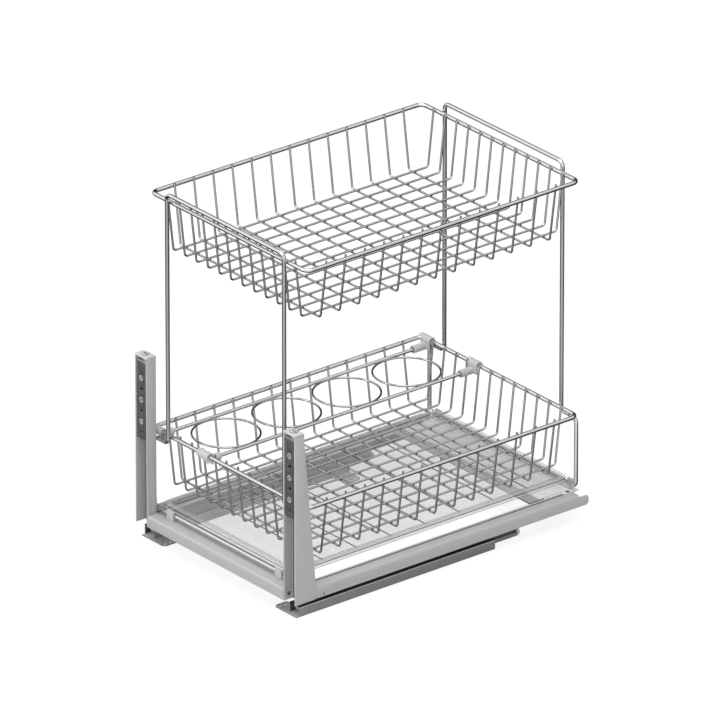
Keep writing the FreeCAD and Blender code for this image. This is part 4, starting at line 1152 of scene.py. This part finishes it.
def pale_floor_material(stage):
    """Pale floor: white to the camera, with a faint shadow."""
    material = bpy.data.materials.new("pale_floor")
    material.use_nodes = True
    tree = material.node_tree
    tree.nodes.clear()
    seen = either_ray(tree, "Is Camera Ray", "Is Transmission Ray")
    pale = put(tree, "ShaderNodeMix", {0: seen, 2: stage.floor_tone, 3: stage.floor_matt})
    matt = put(tree, "ShaderNodeBsdfDiffuse", {"Color": pale.outputs[0]})
    lift = put(tree, "ShaderNodeMath", {0: seen, 1: stage.floor_glow}, operation="MULTIPLY")
    glow = put(tree, "ShaderNodeEmission", {"Color": grey(1.0), "Strength": lift.outputs[0]})
    both = put(tree, "ShaderNodeAddShader", {0: matt.outputs[0], 1: glow.outputs[0]})
    put(tree, "ShaderNodeOutputMaterial", {"Surface": both.outputs[0]})
    return material


def add_floor(stage, steps=96):
    radius, angles = stage.floor_radius, [2 * math.pi * i / steps for i in range(steps)]
    ring = [(radius * math.cos(angle), radius * math.sin(angle), 0.0) for angle in angles]
    floor = new_object("pale_floor", mesh_of("pale_floor", ring, (), [tuple(range(steps))]))
    floor.data.materials.append(pale_floor_material(stage))
    floor.visible_glossy = False


# Places on the studio's slope with their levels, and where the glint and the panel start
# and are full, as how far a direction agrees with theirs
STUDIO_ENDS = ((0.29, 0.02), (1.0, 1.0))
STUDIO_SLOPE = ((0.38, 0.07), (0.5, 0.4), (0.62, 0.95))
STUDIO_BLUE = 1.01
GLINT = (-0.88, -0.94)
GLINT_LEVEL = 0.8
PANEL = (0.7, 0.9)
PANEL_LEVEL = 1.2


def add_world(stage):
    """White to the camera, even light for matt faces and a graded studio for bright metal.

    The studio is pale above and before the unit, and dark below and behind it, so that wires
    along each axis show an equally broad light band from the front. A glint opposite the
    camera lights the wires' backs, and a panel on the left their left sides.
    """
    world = bpy.data.worlds.new("soft_studio")
    world.use_nodes = True
    bpy.context.scene.world = world
    tree = world.node_tree
    tree.nodes.clear()
    where = put(tree, "ShaderNodeTexCoord").outputs["Generated"]
    back = camera_axes(stage)[2]

    def agreement(way, start, full, level=1.0):
        """How far a ray's direction agrees with the given way, from 0 to the level."""
        made = put(tree, "ShaderNodeVectorMath", {0: where, 1: way}, operation="DOT_PRODUCT")
        value = made.outputs["Value"]
        return remapped(tree, value, from_min=start, from_max=full, to_max=level)

    pale_side = Vector(1 / axis for axis in back) / 3
    ramp = put(tree, "ShaderNodeValToRGB", {"Fac": agreement(pale_side, -1.0, 1.0)})
    stops = ramp.color_ramp.elements
    for stop, (position, level) in zip(stops, STUDIO_ENDS):
        stop.position = position
        stop.color = grey(level)
    for position, level in STUDIO_SLOPE:
        stops.new(position).color = grey(level, STUDIO_BLUE)
    glint = agreement(back, *GLINT, GLINT_LEVEL)
    bright = mixed(tree, glint, ramp.outputs[0], grey(1.0))
    panel = agreement(Vector((-back.x, back.y, back.z)), *PANEL)
    studio = mixed(tree, panel, bright, grey(PANEL_LEVEL))
    glossy = put(tree, "ShaderNodeLightPath").outputs["Is Glossy Ray"]
    light = mixed(tree, glossy, grey(stage.sky_level), studio)
    seen = either_ray(tree, "Is Camera Ray", "Is Transmission Ray")
    sky = put(tree, "ShaderNodeBackground", {"Color": mixed(tree, seen, light, grey(1.0))})
    put(tree, "ShaderNodeOutputWorld", {"Surface": sky.outputs[0]})


class PANTRY_OT_stage(Operator):
    """Set the floor, lamps, world and camera"""
    bl_idname = "pantry.stage"
    bl_label = "Stage"

    def execute(self, context):
        stage = context.scene.pantry_stage
        add_camera(stage)
        add_floor(stage)
        add_world(stage)
        add_lamps(stage)
        context.scene.view_settings.view_transform = "Standard"
        return {"FINISHED"}


# Add-on

STEPS = (PANTRY_OT_stage, PANTRY_OT_baskets, PANTRY_OT_support_wires, PANTRY_OT_bottle_rack,
         PANTRY_OT_wire_clips, PANTRY_OT_drip_tray, PANTRY_OT_base_frame,
         PANTRY_OT_door_brackets, PANTRY_OT_floor_slides)


class PANTRY_PT_panel(Panel):
    """Lists the steps in the 3D view's sidebar"""
    bl_idname = "PANTRY_PT_panel"
    bl_label = "Pull-out pantry unit"
    bl_space_type = "VIEW_3D"
    bl_region_type = "UI"
    bl_category = "Pantry"

    def draw(self, context):
        for step in STEPS:
            self.layout.operator(step.bl_idname)


GROUPS = {"pantry_wires": PantryWires, "pantry_shapes": PantryShapes,
          "pantry_finishes": PantryFinishes, "pantry_stage": PantryStage}
CLASSES = (*GROUPS.values(), *STEPS, PANTRY_PT_panel)


def register():
    for made in CLASSES:
        bpy.utils.register_class(made)
    for name, group in GROUPS.items():
        setattr(Scene, name, PointerProperty(type=group))


def unregister():
    for name in GROUPS:
        delattr(Scene, name)
    for made in reversed(CLASSES):
        bpy.utils.unregister_class(made)


def main():
    register()
    for step in STEPS:
        group, name = step.bl_idname.split(".")
        getattr(getattr(bpy.ops, group), name)()


if __name__ == "__main__":
    main()
